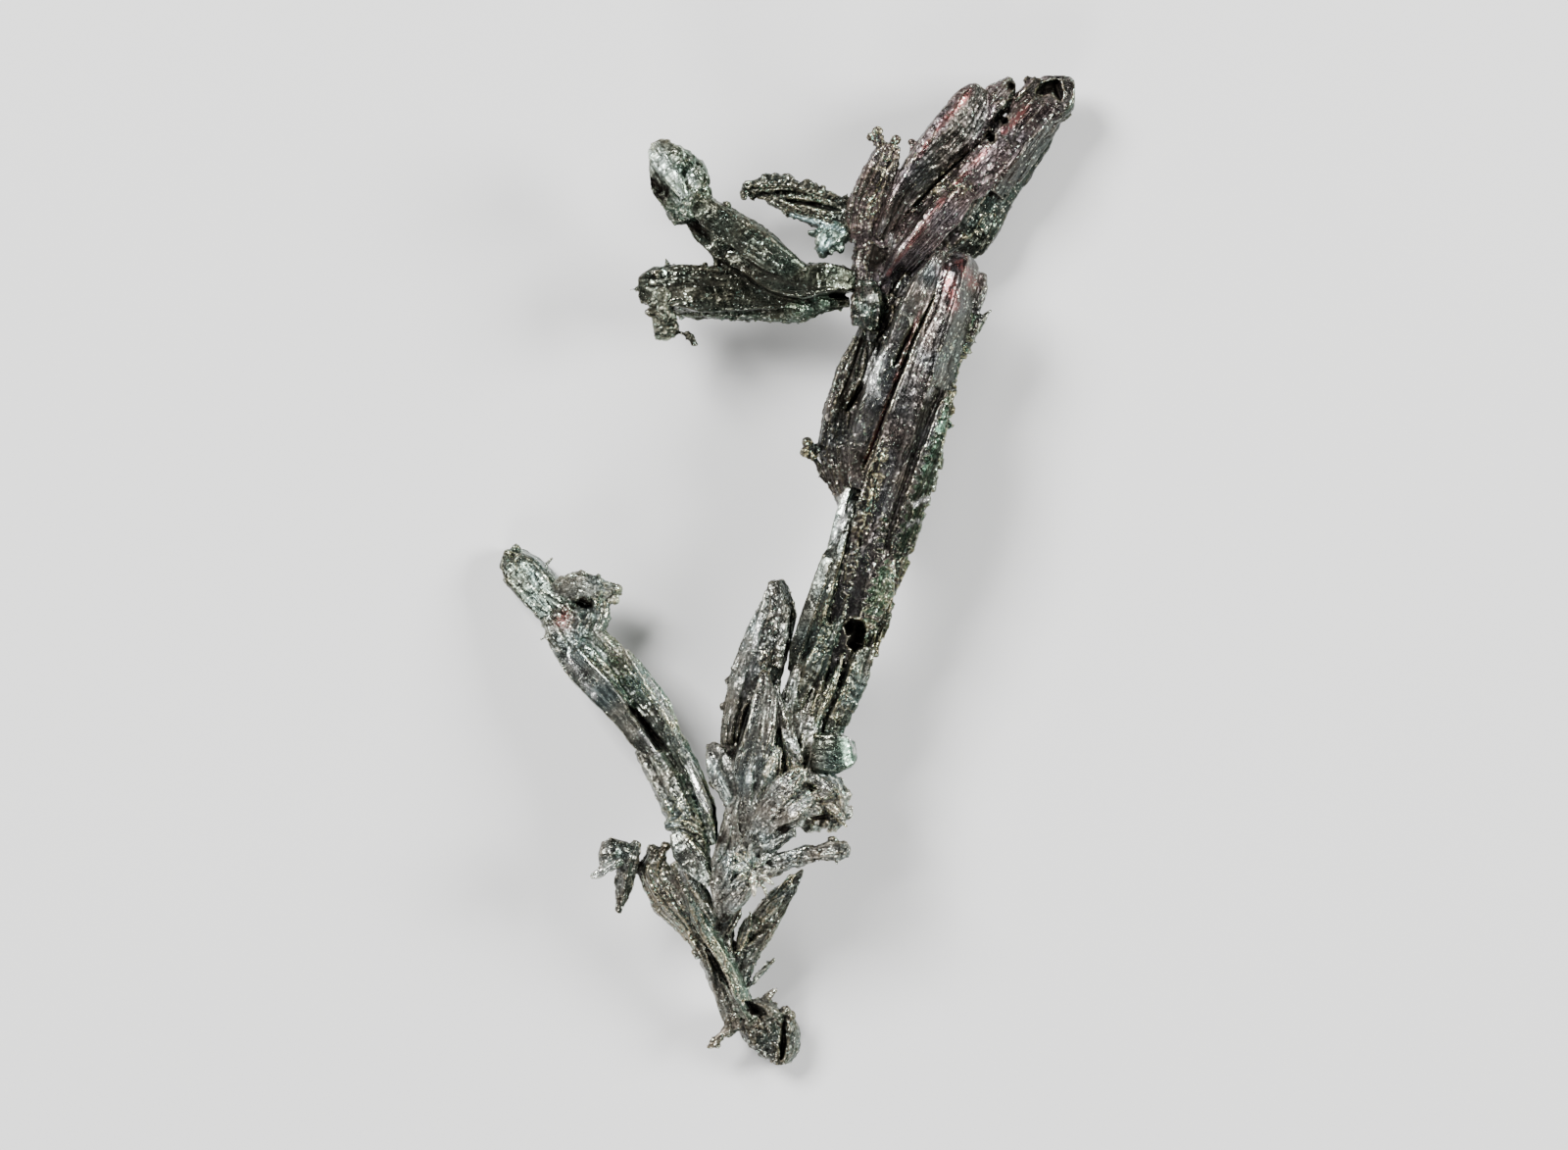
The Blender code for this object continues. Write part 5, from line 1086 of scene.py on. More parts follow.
crystalPiece("centralSprayCrystals", "central_spray", centralSprayCrystals, centralSprayBeads, common | {
    "seed": 211,
    "faceColour": (0.265, 0.26, 0.245), "sideColour": (0.2, 0.25, 0.222), "glintColour": (0.84, 0.7, 0.42),
    "calm": {"tallBlade": 0.6, "frontBlade": 0.35, "rightSliver": 0.6, "joinLath1": 0.8},
    "tone": {"tallBlade": 0.42, "sideTwig": 0.5} | {"starNeedle%d" % k: 2.0 for k in range(1, 9)},
    "tilt": 0.36, "silverColour": (0.8, 0.8, 0.78), "sparkle": 0.2,
    "glintZone": ((-2.2, -14.4, -0.9, -16.4, 0.6), (-1.0, -9.0, 2.6, -12.6, 1.0), (-0.6, -2.0, -1.2, -7.0, 0.3),
             (2.9, -11.6, 0.7)),
    "edgeGrains": (
        ("tallBlade", (-1, 1), 2.0, 0.1), ("frontBlade", (-1, 1), 2.0, 0.09), ("leaf", (-1, 1), 3.0, 0.1),
        ("core", (-1, 1), 3.0, 0.13), ("fanFloor", (-1, 1), 3.0, 0.14), ("crustArc", (-1, 0, 1), 8.0, 0.17),
        ("crustScroll", (-1, 0, 1), 6.0, 0.16), ("crustFloor", (-1, 0, 1), 7.0, 0.18),
        ("sideTwig", (-1, 1), 3.0, 0.1),
        ("joinLath1", (-1, 1), 3.0, 0.11), ("fanBlade2", (-1, 1), 4.0, 0.1),
        ("fanBlade3", (-1, 1), 4.0, 0.11), ("lowerBlade", (-1, 1), 3.0, 0.1),
    ),
    "slits": (
        (((-1.75, -6.9), (-2.1, -8.1), (-2.35, -9.1)), 0.3, 0.6),
        (((1.2, -9.0), (1.05, -10.1)), 0.3, 0.5),
    ),
    "dark": ((-3.0, -13.6, 0.5), (-3.0, -18.0, 0.6), (-0.1, -13.1, 0.4)),
    "flash": ((0.5, -8.8, 0.7, -9.5, 0.14), (-1.5, -4.6, -2.1, -6.3, 0.16), (-1.2, -2.4, -1.5, -4.0, 0.1),
              (0.4, -12.2, 1.0, -11.8, 0.14)),
})

leftBranchCrystals = {
    "collar": (slab, 6, (
        (-11.7, -2.0, 2.2, 1.6, 1.4), (-11.1, -3.0, 2.5, 2.5, 1.7), (-10.4, -4.1, 2.8, 2.2, 1.5),
        (-9.4, -5.5, 3.5, 1.4, 1.3), (-8.2, -6.9, 4.0, 0.9, 1.0),
    )),
    "endSlab": (slab, 6, (
        (-10.6, -3.3, 2.7, 1.0, 1.2), (-11.5, -2.2, 2.2, 1.95, 1.9), (-12.6, -1.0, 1.45, 2.05, 2.2),
        (-13.4, -0.1, 0.95, 1.95, 2.3), (-13.95, 0.5, 0.85, 1.4, 1.8), (-14.2, 0.85, 0.9, 0.7, 0.9),
    )),
    "flake": (slab, -14, (
        (-11.5, -1.2, 2.6, 0.8, 0.8), (-10.6, -0.9, 3.1, 1.55, 0.8), (-9.6, -1.15, 3.3, 1.5, 0.7),
        (-8.85, -1.3, 3.3, 1.1, 0.6), (-8.45, -1.35, 3.3, 0.6, 0.4),
    )),
    "flakeRoot": (prism, 0, (
        (-10.0, -3.4, 3.0, 1.2, 1.1), (-9.55, -2.4, 3.2, 1.4, 1.0), (-9.5, -1.4, 3.2, 1.1, 0.7),
    )),
    "flakeFloor": (slab, 0, (
        (-11.2, -2.4, 2.2, 0.9, 0.7), (-10.2, -2.1, 2.5, 1.7, 0.8), (-9.4, -2.0, 2.7, 0.9, 0.7),
    )),
    "leftSlab": (slab, -14, (
        (-11.45, -3.6, 2.4, 1.1, 1.3), (-10.4, -4.85, 3.0, 1.6, 1.8), (-9.05, -6.2, 3.6, 1.6, 2.0),
        (-7.95, -7.6, 4.1, 1.2, 1.8), (-7.15, -8.8, 4.5, 1.0, 1.5), (-6.5, -9.6, 4.7, 0.6, 0.9),
    )),
    "rightSlab": (ridged, 10, (
        (-10.3, -3.1, 2.8, 1.1, 1.2), (-9.3, -4.1, 3.3, 1.5, 1.7), (-7.95, -5.4, 3.8, 1.8, 1.9),
        (-6.62, -7.0, 4.4, 1.7, 1.9), (-5.7, -8.75, 4.8, 1.2, 1.7), (-4.75, -10.4, 5.2, 1.15, 1.6),
        (-4.0, -12.2, 5.5, 1.0, 1.5), (-3.7, -14.0, 5.6, 0.7, 1.1),
    )),
    "upperRib": (needle, 0, (
        (-8.1, -4.2, 4.3, 0.4, 0.5), (-6.95, -6.0, 5.0, 0.45, 0.6), (-5.75, -7.9, 5.5, 0.4, 0.5),
        (-5.15, -9.2, 5.6, 0.3, 0.3),
    )),
    "lowerRib": (needle, 0, (
        (-4.7, -10.1, 5.9, 0.4, 0.5), (-4.05, -11.6, 6.2, 0.5, 0.6), (-3.6, -13.0, 6.2, 0.35, 0.5),
    )),
    "brightRib": (prism, -15, (
        (-4.8, -9.8, 6.1, 0.3, 0.4), (-4.5, -10.6, 6.5, 0.55, 0.6), (-4.05, -11.7, 6.75, 0.5, 0.6),
        (-3.7, -12.5, 6.5, 0.25, 0.3),
    )),
    "lowerSlab": (sided, -6, (
        (-7.45, -9.2, 4.1, 0.6, 0.9), (-6.55, -10.4, 4.4, 1.3, 1.4), (-5.55, -11.9, 4.9, 1.7, 1.7),
        (-4.9, -13.3, 5.2, 1.8, 1.7), (-4.5, -14.6, 5.4, 1.5, 1.4), (-4.0, -15.8, 5.4, 0.7, 0.8),
    )),
    "slitBack": (slab, 0, (
        (-8.6, -5.9, 3.0, 0.8, 0.8), (-7.2, -7.9, 3.5, 1.4, 0.9), (-6.0, -9.6, 4.0, 1.2, 0.9),
        (-5.2, -11.0, 4.5, 0.8, 0.8),
    )),
    "middleSlab": (prism, 0, (
        (-6.5, -9.5, 5.0, 0.8, 0.9), (-5.6, -11.0, 5.4, 1.1, 1.0), (-4.7, -12.8, 5.8, 0.9, 0.9),
        (-4.3, -13.9, 5.8, 0.5, 0.5),
    )),
    "rolledEnd": (prism, 0, (
        (-5.95, -13.05, 5.7, 0.5, 0.6), (-5.3, -12.95, 6.0, 0.75, 0.8), (-4.6, -13.2, 6.1, 0.65, 0.7),
        (-4.1, -13.6, 6.0, 0.3, 0.4),
    )),
    "rootLens": (slab, -8, (
        (-5.4, -13.4, 5.8, 0.8, 0.7), (-4.95, -14.3, 6.0, 1.5, 0.9), (-4.4, -15.1, 6.0, 1.3, 0.8),
        (-3.8, -16.1, 5.8, 0.4, 0.4),
    )),
    "barb": (needle, 0, (
        (-11.5, -3.0, 2.4, 0.4, 0.4), (-12.5, -3.65, 2.1, 0.14, 0.16),
    )),
    "curl": (needle, 0, (
        (-11.7, -0.9, 2.2, 0.3, 0.3), (-12.15, 0.2, 2.5, 0.22, 0.22), (-11.85, 0.55, 2.6, 0.16, 0.16),
    )),
}
leftBranchBeads = (
    (-14.4, 0.15, 1.1, 0.28), (-14.15, -0.55, 1.1, 0.3), (-13.75, 1.05, 1.1, 0.26),
    (-14.15, 0.75, 1.3, 0.28), (-8.95, -0.8, 3.4, 0.28), (-8.5, -1.1, 3.4, 0.28),
    (-8.65, -1.65, 3.4, 0.26), (-8.5, -3.1, 3.6, 0.26),
)
crystalPiece("leftBranchCrystals", "left_branch", leftBranchCrystals, leftBranchBeads, common | {
    "seed": 307,
    "faceColour": (0.235, 0.245, 0.228), "sideColour": (0.165, 0.25, 0.2), "sparkle": 0.24,
    "glintColour": (0.84, 0.76, 0.42),
    "calm": {"leftSlab": 0.0, "brightRib": 0.2, "endSlab": 0.4, "rootLens": 0.6, "rightSlab": 0.8},
    # brightRib's high tone is a painted highlight; flakeFloor's low tone is painted shade in the hollow under
    # the flake
    "tone": {"leftSlab": 0.7, "brightRib": 3.6, "slitBack": 0.5, "endSlab": 0.36, "flake": 0.85,
             "lowerSlab": 0.65, "middleSlab": 0.75,
             "lowerRib": 1.8, "upperRib": 1.5, "collar": 0.7, "flakeFloor": 0.3},
    "green": {"endSlab": 0.8, "rightSlab": 0.5, "leftSlab": -0.5, "brightRib": -0.5},
    "tilt": 0.36, "silverColour": (0.85, 0.87, 0.83),
    "glintZone": ((-9.0, -3.8, -5.2, -8.2, 0.4), (-9.6, -4.6, -7.0, -6.6, 0.3), (-13.8, 0.4, 0.7),
             (-9.0, -1.6, 0.8), (-5.4, -12.0, -4.6, -13.6, 0.6), (-4.0, -10.6, -3.6, -13.0, 0.25)),
    "edgeGrains": (
        ("endSlab", (-1, 1), 2.5, 0.11), ("flake", (-1, 1), 6.0, 0.14), ("rightSlab", (1,), 3.0, 0.11),
        ("lowerSlab", (-1,), 4.0, 0.12), ("collar", (-1, 1), 4.0, 0.13), ("flakeRoot", (-1, 1), 4.0, 0.13),
        ("rolledEnd", (-1, 0, 1), 4.0, 0.13), ("leftSlab", (-1,), 1.5, 0.09),
    ),
    "slits": (
        (((-7.9, -7.0), (-7.0, -8.0), (-6.3, -8.9), (-5.9, -9.3)), 0.36, 0.6),
        (((-3.6, -12.0), (-3.35, -13.2), (-3.2, -14.4)), 0.3, 0.5),
        (((-10.6, -1.7), (-9.8, -1.95)), 0.4, 0.3),
    ),
    "dark": ((-7.6, -7.4, -6.2, -9.0, 0.2), (-10.2, -1.7, 0.3)),
    "red": ((-11.3, -2.6, 0.45),),
    "flash": ((-4.75, -10.0, -3.8, -12.2, 0.24), (-7.3, -8.3, -6.4, -9.4, 0.1),
              (-11.0, -4.6, -9.6, -6.6, 0.12), (-6.9, -5.6, -5.7, -7.6, 0.09)),
})

mainBladeCrystals = {
    "frontSlab": (bladed, 10, (
        (2.9, -5.6, 5.2, 1.2, 1.2), (3.2, -4.4, 5.3, 2.0, 1.8), (3.7, -2.5, 5.5, 2.5, 2.3),
        (4.4, 0.0, 5.8, 2.8, 2.5), (5.25, 3.0, 6.0, 2.8, 2.6), (5.9, 5.0, 6.1, 2.8, 2.6),
        (6.75, 8.0, 6.2, 2.7, 2.7), (7.6, 10.5, 6.3, 2.4, 2.5), (8.45, 13.0, 6.3, 2.1, 2.3),
        (8.95, 14.8, 6.2, 1.9, 2.0), (9.15, 15.5, 6.05, 1.6, 1.5), (9.25, 15.85, 5.9, 0.9, 0.9),
    )),
    "leftSlab": (slab, -6, (
        (3.6, 4.1, 5.6, 0.7, 0.9), (3.92, 6.0, 5.8, 1.5, 1.4), (4.5, 8.0, 6.0, 1.65, 1.7),
        (5.15, 9.5, 6.1, 1.65, 1.7), (6.0, 11.6, 6.2, 1.6, 1.8), (6.65, 13.2, 6.2, 1.6, 1.8),
        (7.45, 14.7, 6.1, 1.6, 1.6), (8.0, 15.5, 6.0, 1.35, 1.2), (8.3, 15.85, 5.9, 0.7, 0.8),
    )),
    "slitFloor": (slab, 0, (
        (4.0, 4.6, 4.9, 0.9, 0.9), (5.6, 8.9, 5.1, 1.0, 1.0), (6.8, 11.8, 5.2, 1.0, 1.0),
        (7.7, 13.9, 5.2, 0.8, 0.8),
    )),
    "rearJoin": (slab, 6, (
        (4.4, 9.4, 4.5, 0.9, 0.9), (5.1, 11.4, 4.5, 1.6, 1.1), (5.9, 13.2, 4.5, 1.7, 1.1),
        (6.7, 14.8, 4.4, 1.2, 0.9),
    )),
    "rearSlab": (slab, -15, (
        (3.7, 2.2, 5.0, 0.9, 1.3), (3.1, 4.2, 4.8, 1.3, 1.5), (2.85, 6.0, 4.7, 2.0, 1.8),
        (3.1, 8.0, 4.8, 2.0, 1.8), (3.75, 10.0, 4.8, 1.7, 1.5), (4.15, 11.5, 4.8, 1.2, 1.2),
        (4.3, 12.2, 4.8, 0.9, 0.9),
    )),
    "rearRib": (prism, 0, (
        (1.95, 6.2, 5.2, 0.55, 0.9), (2.45, 8.6, 5.3, 0.55, 0.9), (3.05, 10.3, 5.3, 0.5, 0.8),
        (3.7, 11.8, 5.1, 0.35, 0.5),
    )),
    "hangingBlade": (prism, -8, (
        (2.9, 6.3, 5.6, 0.7, 0.8), (3.15, 4.9, 5.5, 0.85, 0.8), (3.3, 3.7, 5.4, 0.5, 0.6),
    )),
    "hangingBarb": (needle, 0, (
        (1.55, 5.5, 5.0, 0.4, 0.5), (2.1, 4.7, 5.0, 0.55, 0.6), (2.65, 3.9, 5.1, 0.35, 0.4),
        (3.3, 3.7, 5.2, 0.4, 0.4),
    )),
    "sideFlank": (ridged, 24, (
        (9.45, 13.8, 5.3, 1.1, 1.3), (9.1, 12.2, 5.3, 1.3, 1.5), (8.25, 10.3, 5.3, 1.25, 1.6),
        (7.62, 7.5, 5.3, 1.4, 1.8), (6.85, 4.6, 5.2, 1.55, 1.9), (5.75, 1.6, 5.1, 1.6, 1.8),
        (4.95, -0.8, 5.1, 1.45, 1.6), (4.6, -2.8, 5.1, 1.2, 1.4), (4.25, -4.3, 5.1, 0.9, 1.1),
    )),
    "sideSpike": (prism, 10, (
        (8.9, 11.0, 5.5, 0.8, 0.9), (9.75, 12.35, 5.6, 0.7, 0.6), (10.53, 13.13, 5.6, 0.12, 0.15),
    )),
    "crownKnob": (prism, 15, (
        (9.6, 13.2, 5.4, 0.9, 1.3), (10.0, 14.3, 5.3, 1.0, 1.3), (10.05, 15.05, 5.3, 0.5, 0.7),
    )),
    "lowerRib1": (prism, 12, (
        (5.3, 6.6, 7.0, 0.4, 0.5), (4.75, 4.6, 7.0, 0.75, 0.8), (4.3, 2.8, 6.85, 0.7, 0.8),
        (4.1, 1.5, 6.7, 0.4, 0.5),
    )),
    "lowerRib2": (prism, -8, (
        (4.35, 4.0, 6.7, 0.5, 0.7), (3.85, 2.2, 6.7, 0.8, 0.9), (3.5, 0.4, 6.6, 0.8, 0.9),
        (3.2, -1.3, 6.4, 0.6, 0.7), (3.0, -2.3, 6.2, 0.3, 0.4),
    )),
    "lowerRib3": (prism, 16, (
        (5.6, 4.6, 6.9, 0.35, 0.5), (5.1, 2.6, 6.9, 0.7, 0.8), (4.7, 0.6, 6.7, 0.7, 0.8),
        (4.35, -1.2, 6.4, 0.6, 0.7), (4.15, -2.6, 6.1, 0.3, 0.4),
    )),
    "cyanFace": (slab, 12, (
        (5.25, 0.9, 6.5, 0.7, 0.7), (5.0, 0.0, 6.6, 1.3, 1.0), (4.7, -1.1, 6.5, 1.6, 1.1),
        (4.35, -2.2, 6.3, 1.3, 1.0), (4.1, -2.9, 6.0, 0.8, 0.7),
    )),
    "whiteTuft": (prism, 10, (
        (4.3, 8.8, 6.75, 0.3, 0.3), (4.45, 9.15, 6.85, 0.75, 0.5), (4.6, 9.8, 6.95, 0.5, 0.4),
        (4.95, 10.8, 6.95, 0.25, 0.3),
    )),
    "whiteWisp": (needle, 0, (
        (4.75, 9.0, 6.9, 0.3, 0.3), (4.7, 9.9, 7.0, 0.25, 0.3), (4.55, 11.0, 6.8, 0.15, 0.2),
    )),
    "greenFlank": (slab, 24, (
        (8.3, 9.0, 6.7, 0.4, 0.5), (7.75, 7.2, 6.85, 0.9, 0.7), (7.2, 5.4, 6.85, 1.2, 0.8),
        (6.55, 3.4, 6.8, 1.35, 0.8), (5.95, 1.6, 6.65, 1.3, 0.8), (5.45, 0.2, 6.4, 0.8, 0.6),
    )),
}
mainBladeBeads = (
    (1.2, 6.4, 5.3, 0.34), (1.05, 5.95, 5.3, 0.28), (1.4, 5.7, 5.2, 0.3), (1.72, 6.1, 5.1, 0.32),
    (8.4, 7.3, 5.5, 0.28), (7.3, 3.65, 5.4, 0.26), (8.55, 9.9, 5.5, 0.24), (4.7, -4.1, 5.5, 0.2),
)
pitSlits = (
    (((3.1, -2.95), (4.1, -3.2)), 0.75, 1.0),
    (((3.85, -2.8), (3.6, -4.15)), 0.75, 1.1),
)
mainBladeLook = common | {
    "seed": 401,
    "faceColour": (0.1, 0.089, 0.088), "sideColour": (0.037, 0.063, 0.04), "silverColour": (0.66, 0.67, 0.62),
    "calm": {"frontSlab": 0.25, "leftSlab": 0.6, "crownKnob": 0.6, "cyanFace": 0.9, "greenFlank": 0.45},
    # slitFloor's and rearJoin's low tones are painted shade in the gaps they fill
    "tone": {"frontSlab": 0.85, "leftSlab": 1.4, "slitFloor": 0.3, "rearJoin": 0.35, "rearSlab": 0.75,
             "rearRib": 0.7,
             "lowerRib1": 0.5, "lowerRib2": 0.5, "lowerRib3": 0.9, "whiteTuft": 5.0, "whiteWisp": 4.0,
             "cyanFace": 2.0, "greenFlank": 0.8},
    "green": {"frontSlab": -0.4, "crownKnob": -0.4, "lowerRib3": 0.6, "sideFlank": 0.6, "cyanFace": 0.75,
              "greenFlank": 0.5},
    "ledges": {"sideFlank": 1.5, "cyanFace": 0.8, "greenFlank": 0.6, "frontSlab": 0.2, "leftSlab": 0.15,
               "lowerRib1": 0.8, "lowerRib2": 0.8, "lowerRib3": 0.8},
    "glintZone": ((8.3, 11.4, 7.5, 9.6, 0.3), (9.3, 11.2, 8.3, 6.4, 0.3), (4.9, 6.2, 3.9, 0.0, 0.4),
             (5.9, 1.0, 5.2, -1.6, 0.5), (4.2, -2.4, 4.2, -4.5, 0.6), (1.3, 6.0, 0.5),
             (4.0, 8.0, 4.0, 6.6, 0.15)),
    "edgeGrains": (
        ("sideFlank", (1,), 3.0, 0.11), ("rearSlab", (-1,), 3.0, 0.1), ("hangingBarb", (-1, 1), 3.0, 0.1),
        ("leftSlab", (-1, 1), 1.5, 0.08),
    ),
    "slits": (
        (((7.6, 13.8), (6.55, 11.5), (5.55, 9.0), (4.6, 6.5), (4.0, 5.0)), 0.16, 0.5),
        (((6.6, 12.35), (5.55, 10.2)), 0.2, 0.4),
        (((4.0, 9.4), (3.2, 8.0)), 0.26, 0.5),
        *pitSlits,
    ),
    "red": ((9.0, 15.4, 9.5, 14.6, 0.35), (8.3, 15.0, 8.6, 13.4, 0.35), (6.9, 13.0, 4.2, 5.6, 0.1)),
    "dark": ((3.7, -3.45, 0.38), (4.0, 5.5, 0.35), (3.9, 11.6, 2.9, 8.4, 0.16)),
    "flash": ((4.75, 10.8, 4.45, 9.2, 0.3), (2.95, 3.5, 2.4, 1.3, 0.26), (7.5, 9.0, 7.3, 8.6, 0.12),
              (6.6, 3.25, 7.3, 3.55, 0.12), (6.3, 2.2, 6.8, 2.4, 0.1)),
}
crystalPiece("mainBladeCrystals", "main_blade", mainBladeCrystals, mainBladeBeads, mainBladeLook)

mainBladeRootCrystals = {
    "brightStrip": (slab, -22, (
        (3.4, 4.1, 5.9, 0.4, 0.8), (3.02, 2.7, 5.95, 0.5, 1.3), (2.62, 1.2, 5.9, 0.5, 1.3),
        (2.45, 0.6, 5.8, 0.35, 0.9),
    )),
    "smoothFaceSlab": (slab, -22, (
        (2.85, 1.3, 5.9, 0.5, 1.0), (2.5, 0.4, 6.0, 0.8, 1.7), (2.0, -1.0, 6.0, 0.85, 1.8),
        (1.45, -2.6, 5.95, 0.85, 1.8), (0.9, -4.1, 5.85, 0.8, 1.7), (0.55, -5.2, 5.6, 0.5, 1.0),
    )),
    "edgeLath": (prism, -10, (
        (3.6, 3.4, 5.9, 0.5, 0.8), (3.2, 1.7, 6.25, 0.8, 1.1), (2.85, 0.4, 6.35, 0.85, 1.2),
        (2.4, -1.0, 6.35, 0.8, 1.2), (1.9, -2.6, 6.2, 0.75, 1.1), (1.5, -3.9, 6.0, 0.4, 0.7),
    )),
    "greenFace": (ridged, 6, (
        (3.9, 3.2, 5.7, 1.0, 1.2), (3.5, 1.2, 5.8, 1.5, 1.7), (2.95, -0.8, 5.8, 1.7, 1.8),
        (2.35, -2.7, 5.8, 1.6, 1.7), (1.75, -4.4, 5.7, 1.3, 1.5), (1.4, -5.6, 5.6, 0.8, 1.0),
    )),
    "rootLath1": (prism, 8, (
        (2.3, -2.8, 5.9, 0.9, 1.2), (1.4, -5.1, 5.9, 1.5, 1.5), (0.8, -6.8, 5.9, 1.3, 1.3),
        (0.45, -8.0, 5.7, 1.2, 1.1), (0.2, -9.4, 5.6, 1.0, 0.9), (-0.1, -10.8, 5.5, 0.6, 0.7),
    )),
    "rootLath2": (prism, 0, (
        (2.2, -4.4, 5.6, 0.9, 1.0), (1.6, -6.8, 5.7, 1.4, 1.2), (1.2, -8.8, 5.6, 1.4, 1.1),
        (0.8, -10.4, 5.5, 1.0, 0.9),
    )),
    "goldRib": (prism, 10, (
        (2.95, -4.4, 6.2, 0.3, 0.6), (2.45, -5.9, 6.4, 0.5, 0.9), (1.9, -7.3, 6.4, 0.45, 0.8),
        (1.35, -8.9, 6.0, 0.3, 0.6),
    )),
    "rootSlab": (sided, 15, (
        (3.85, -3.9, 5.5, 1.3, 1.8), (3.2, -5.8, 5.6, 1.65, 2.0), (2.45, -7.4, 5.5, 1.5, 1.8),
        (2.05, -8.9, 5.3, 1.2, 1.4),
    )),
    "rootCrystal": (slab, 2, (
        (1.35, -9.35, 5.6, 1.4, 1.3), (1.9, -9.35, 5.9, 2.0, 1.9), (2.6, -9.35, 6.1, 2.1, 2.1),
        (3.2, -9.3, 6.0, 1.6, 1.7), (3.55, -9.25, 5.9, 1.0, 1.0),
    )),
    "rootStub": (prism, 0, (
        (1.3, -8.0, 5.7, 0.9, 0.9), (1.25, -8.7, 5.9, 1.2, 1.2), (1.1, -9.4, 5.9, 1.0, 1.1),
        (1.0, -10.1, 5.6, 0.6, 0.8),
    )),
}
mainBladeRootBeads = ((1.0, -8.6, 5.9, 0.3),)
crystalPiece("mainBladeRootCrystals", "main_blade", mainBladeRootCrystals, mainBladeRootBeads,
             mainBladeLook | {
    "seed": 431,
    "faceColour": (0.09, 0.094, 0.084), "sideColour": (0.06, 0.1, 0.08),
    "calm": {"brightStrip": 0.25, "smoothFaceSlab": 0.1, "rootCrystal": 0.3, "edgeLath": 0.6},
    # brightStrip's high tone is a painted highlight
    "tone": {"brightStrip": 4.5, "smoothFaceSlab": 1.0, "edgeLath": 0.9, "rootCrystal": 1.6, "goldRib": 1.8,
             "greenFace": 0.9, "rootStub": 1.5},
    "green": {"rootCrystal": 0.5, "greenFace": 0.3, "brightStrip": -0.5, "smoothFaceSlab": -0.5},
    "flash": ((3.35, -8.6, 3.6, -9.3, 0.08), (2.6, -8.4, 3.3, -8.5, 0.08), (3.1, 3.2, 2.6, 1.5, 0.2)),
    "ledges": {"rootCrystal": 0.0, "rootSlab": 0.9, "greenFace": 0.7, "rootLath1": 0.6, "rootLath2": 0.6,
               "smoothFaceSlab": 0.0},
    "glintZone": ((3.2, 0.9, 1.9, -3.0, 0.22), (2.4, -1.0, 1.6, -4.0, 0.45), (3.0, -4.5, 1.4, -8.2, 0.4),
             (3.6, -5.0, 2.6, -7.5, 0.3), (1.2, -8.3, 0.5)),
    "edgeGrains": (
        ("rootSlab", (1,), 4.0, 0.13), ("goldRib", (-1, 1), 4.0, 0.1), ("rootCrystal", (-1, 1), 2.0, 0.1),
        ("rootStub", (-1, 0, 1), 4.0, 0.13), ("rootLath2", (-1, 1), 3.0, 0.11),
    ),
    "slits": (
        (((2.8, -4.5), (2.1, -5.8)), 0.3, 0.6),
        (((1.5, -6.1), (1.0, -7.5)), 0.36, 0.6),
        *pitSlits,
    ),
})

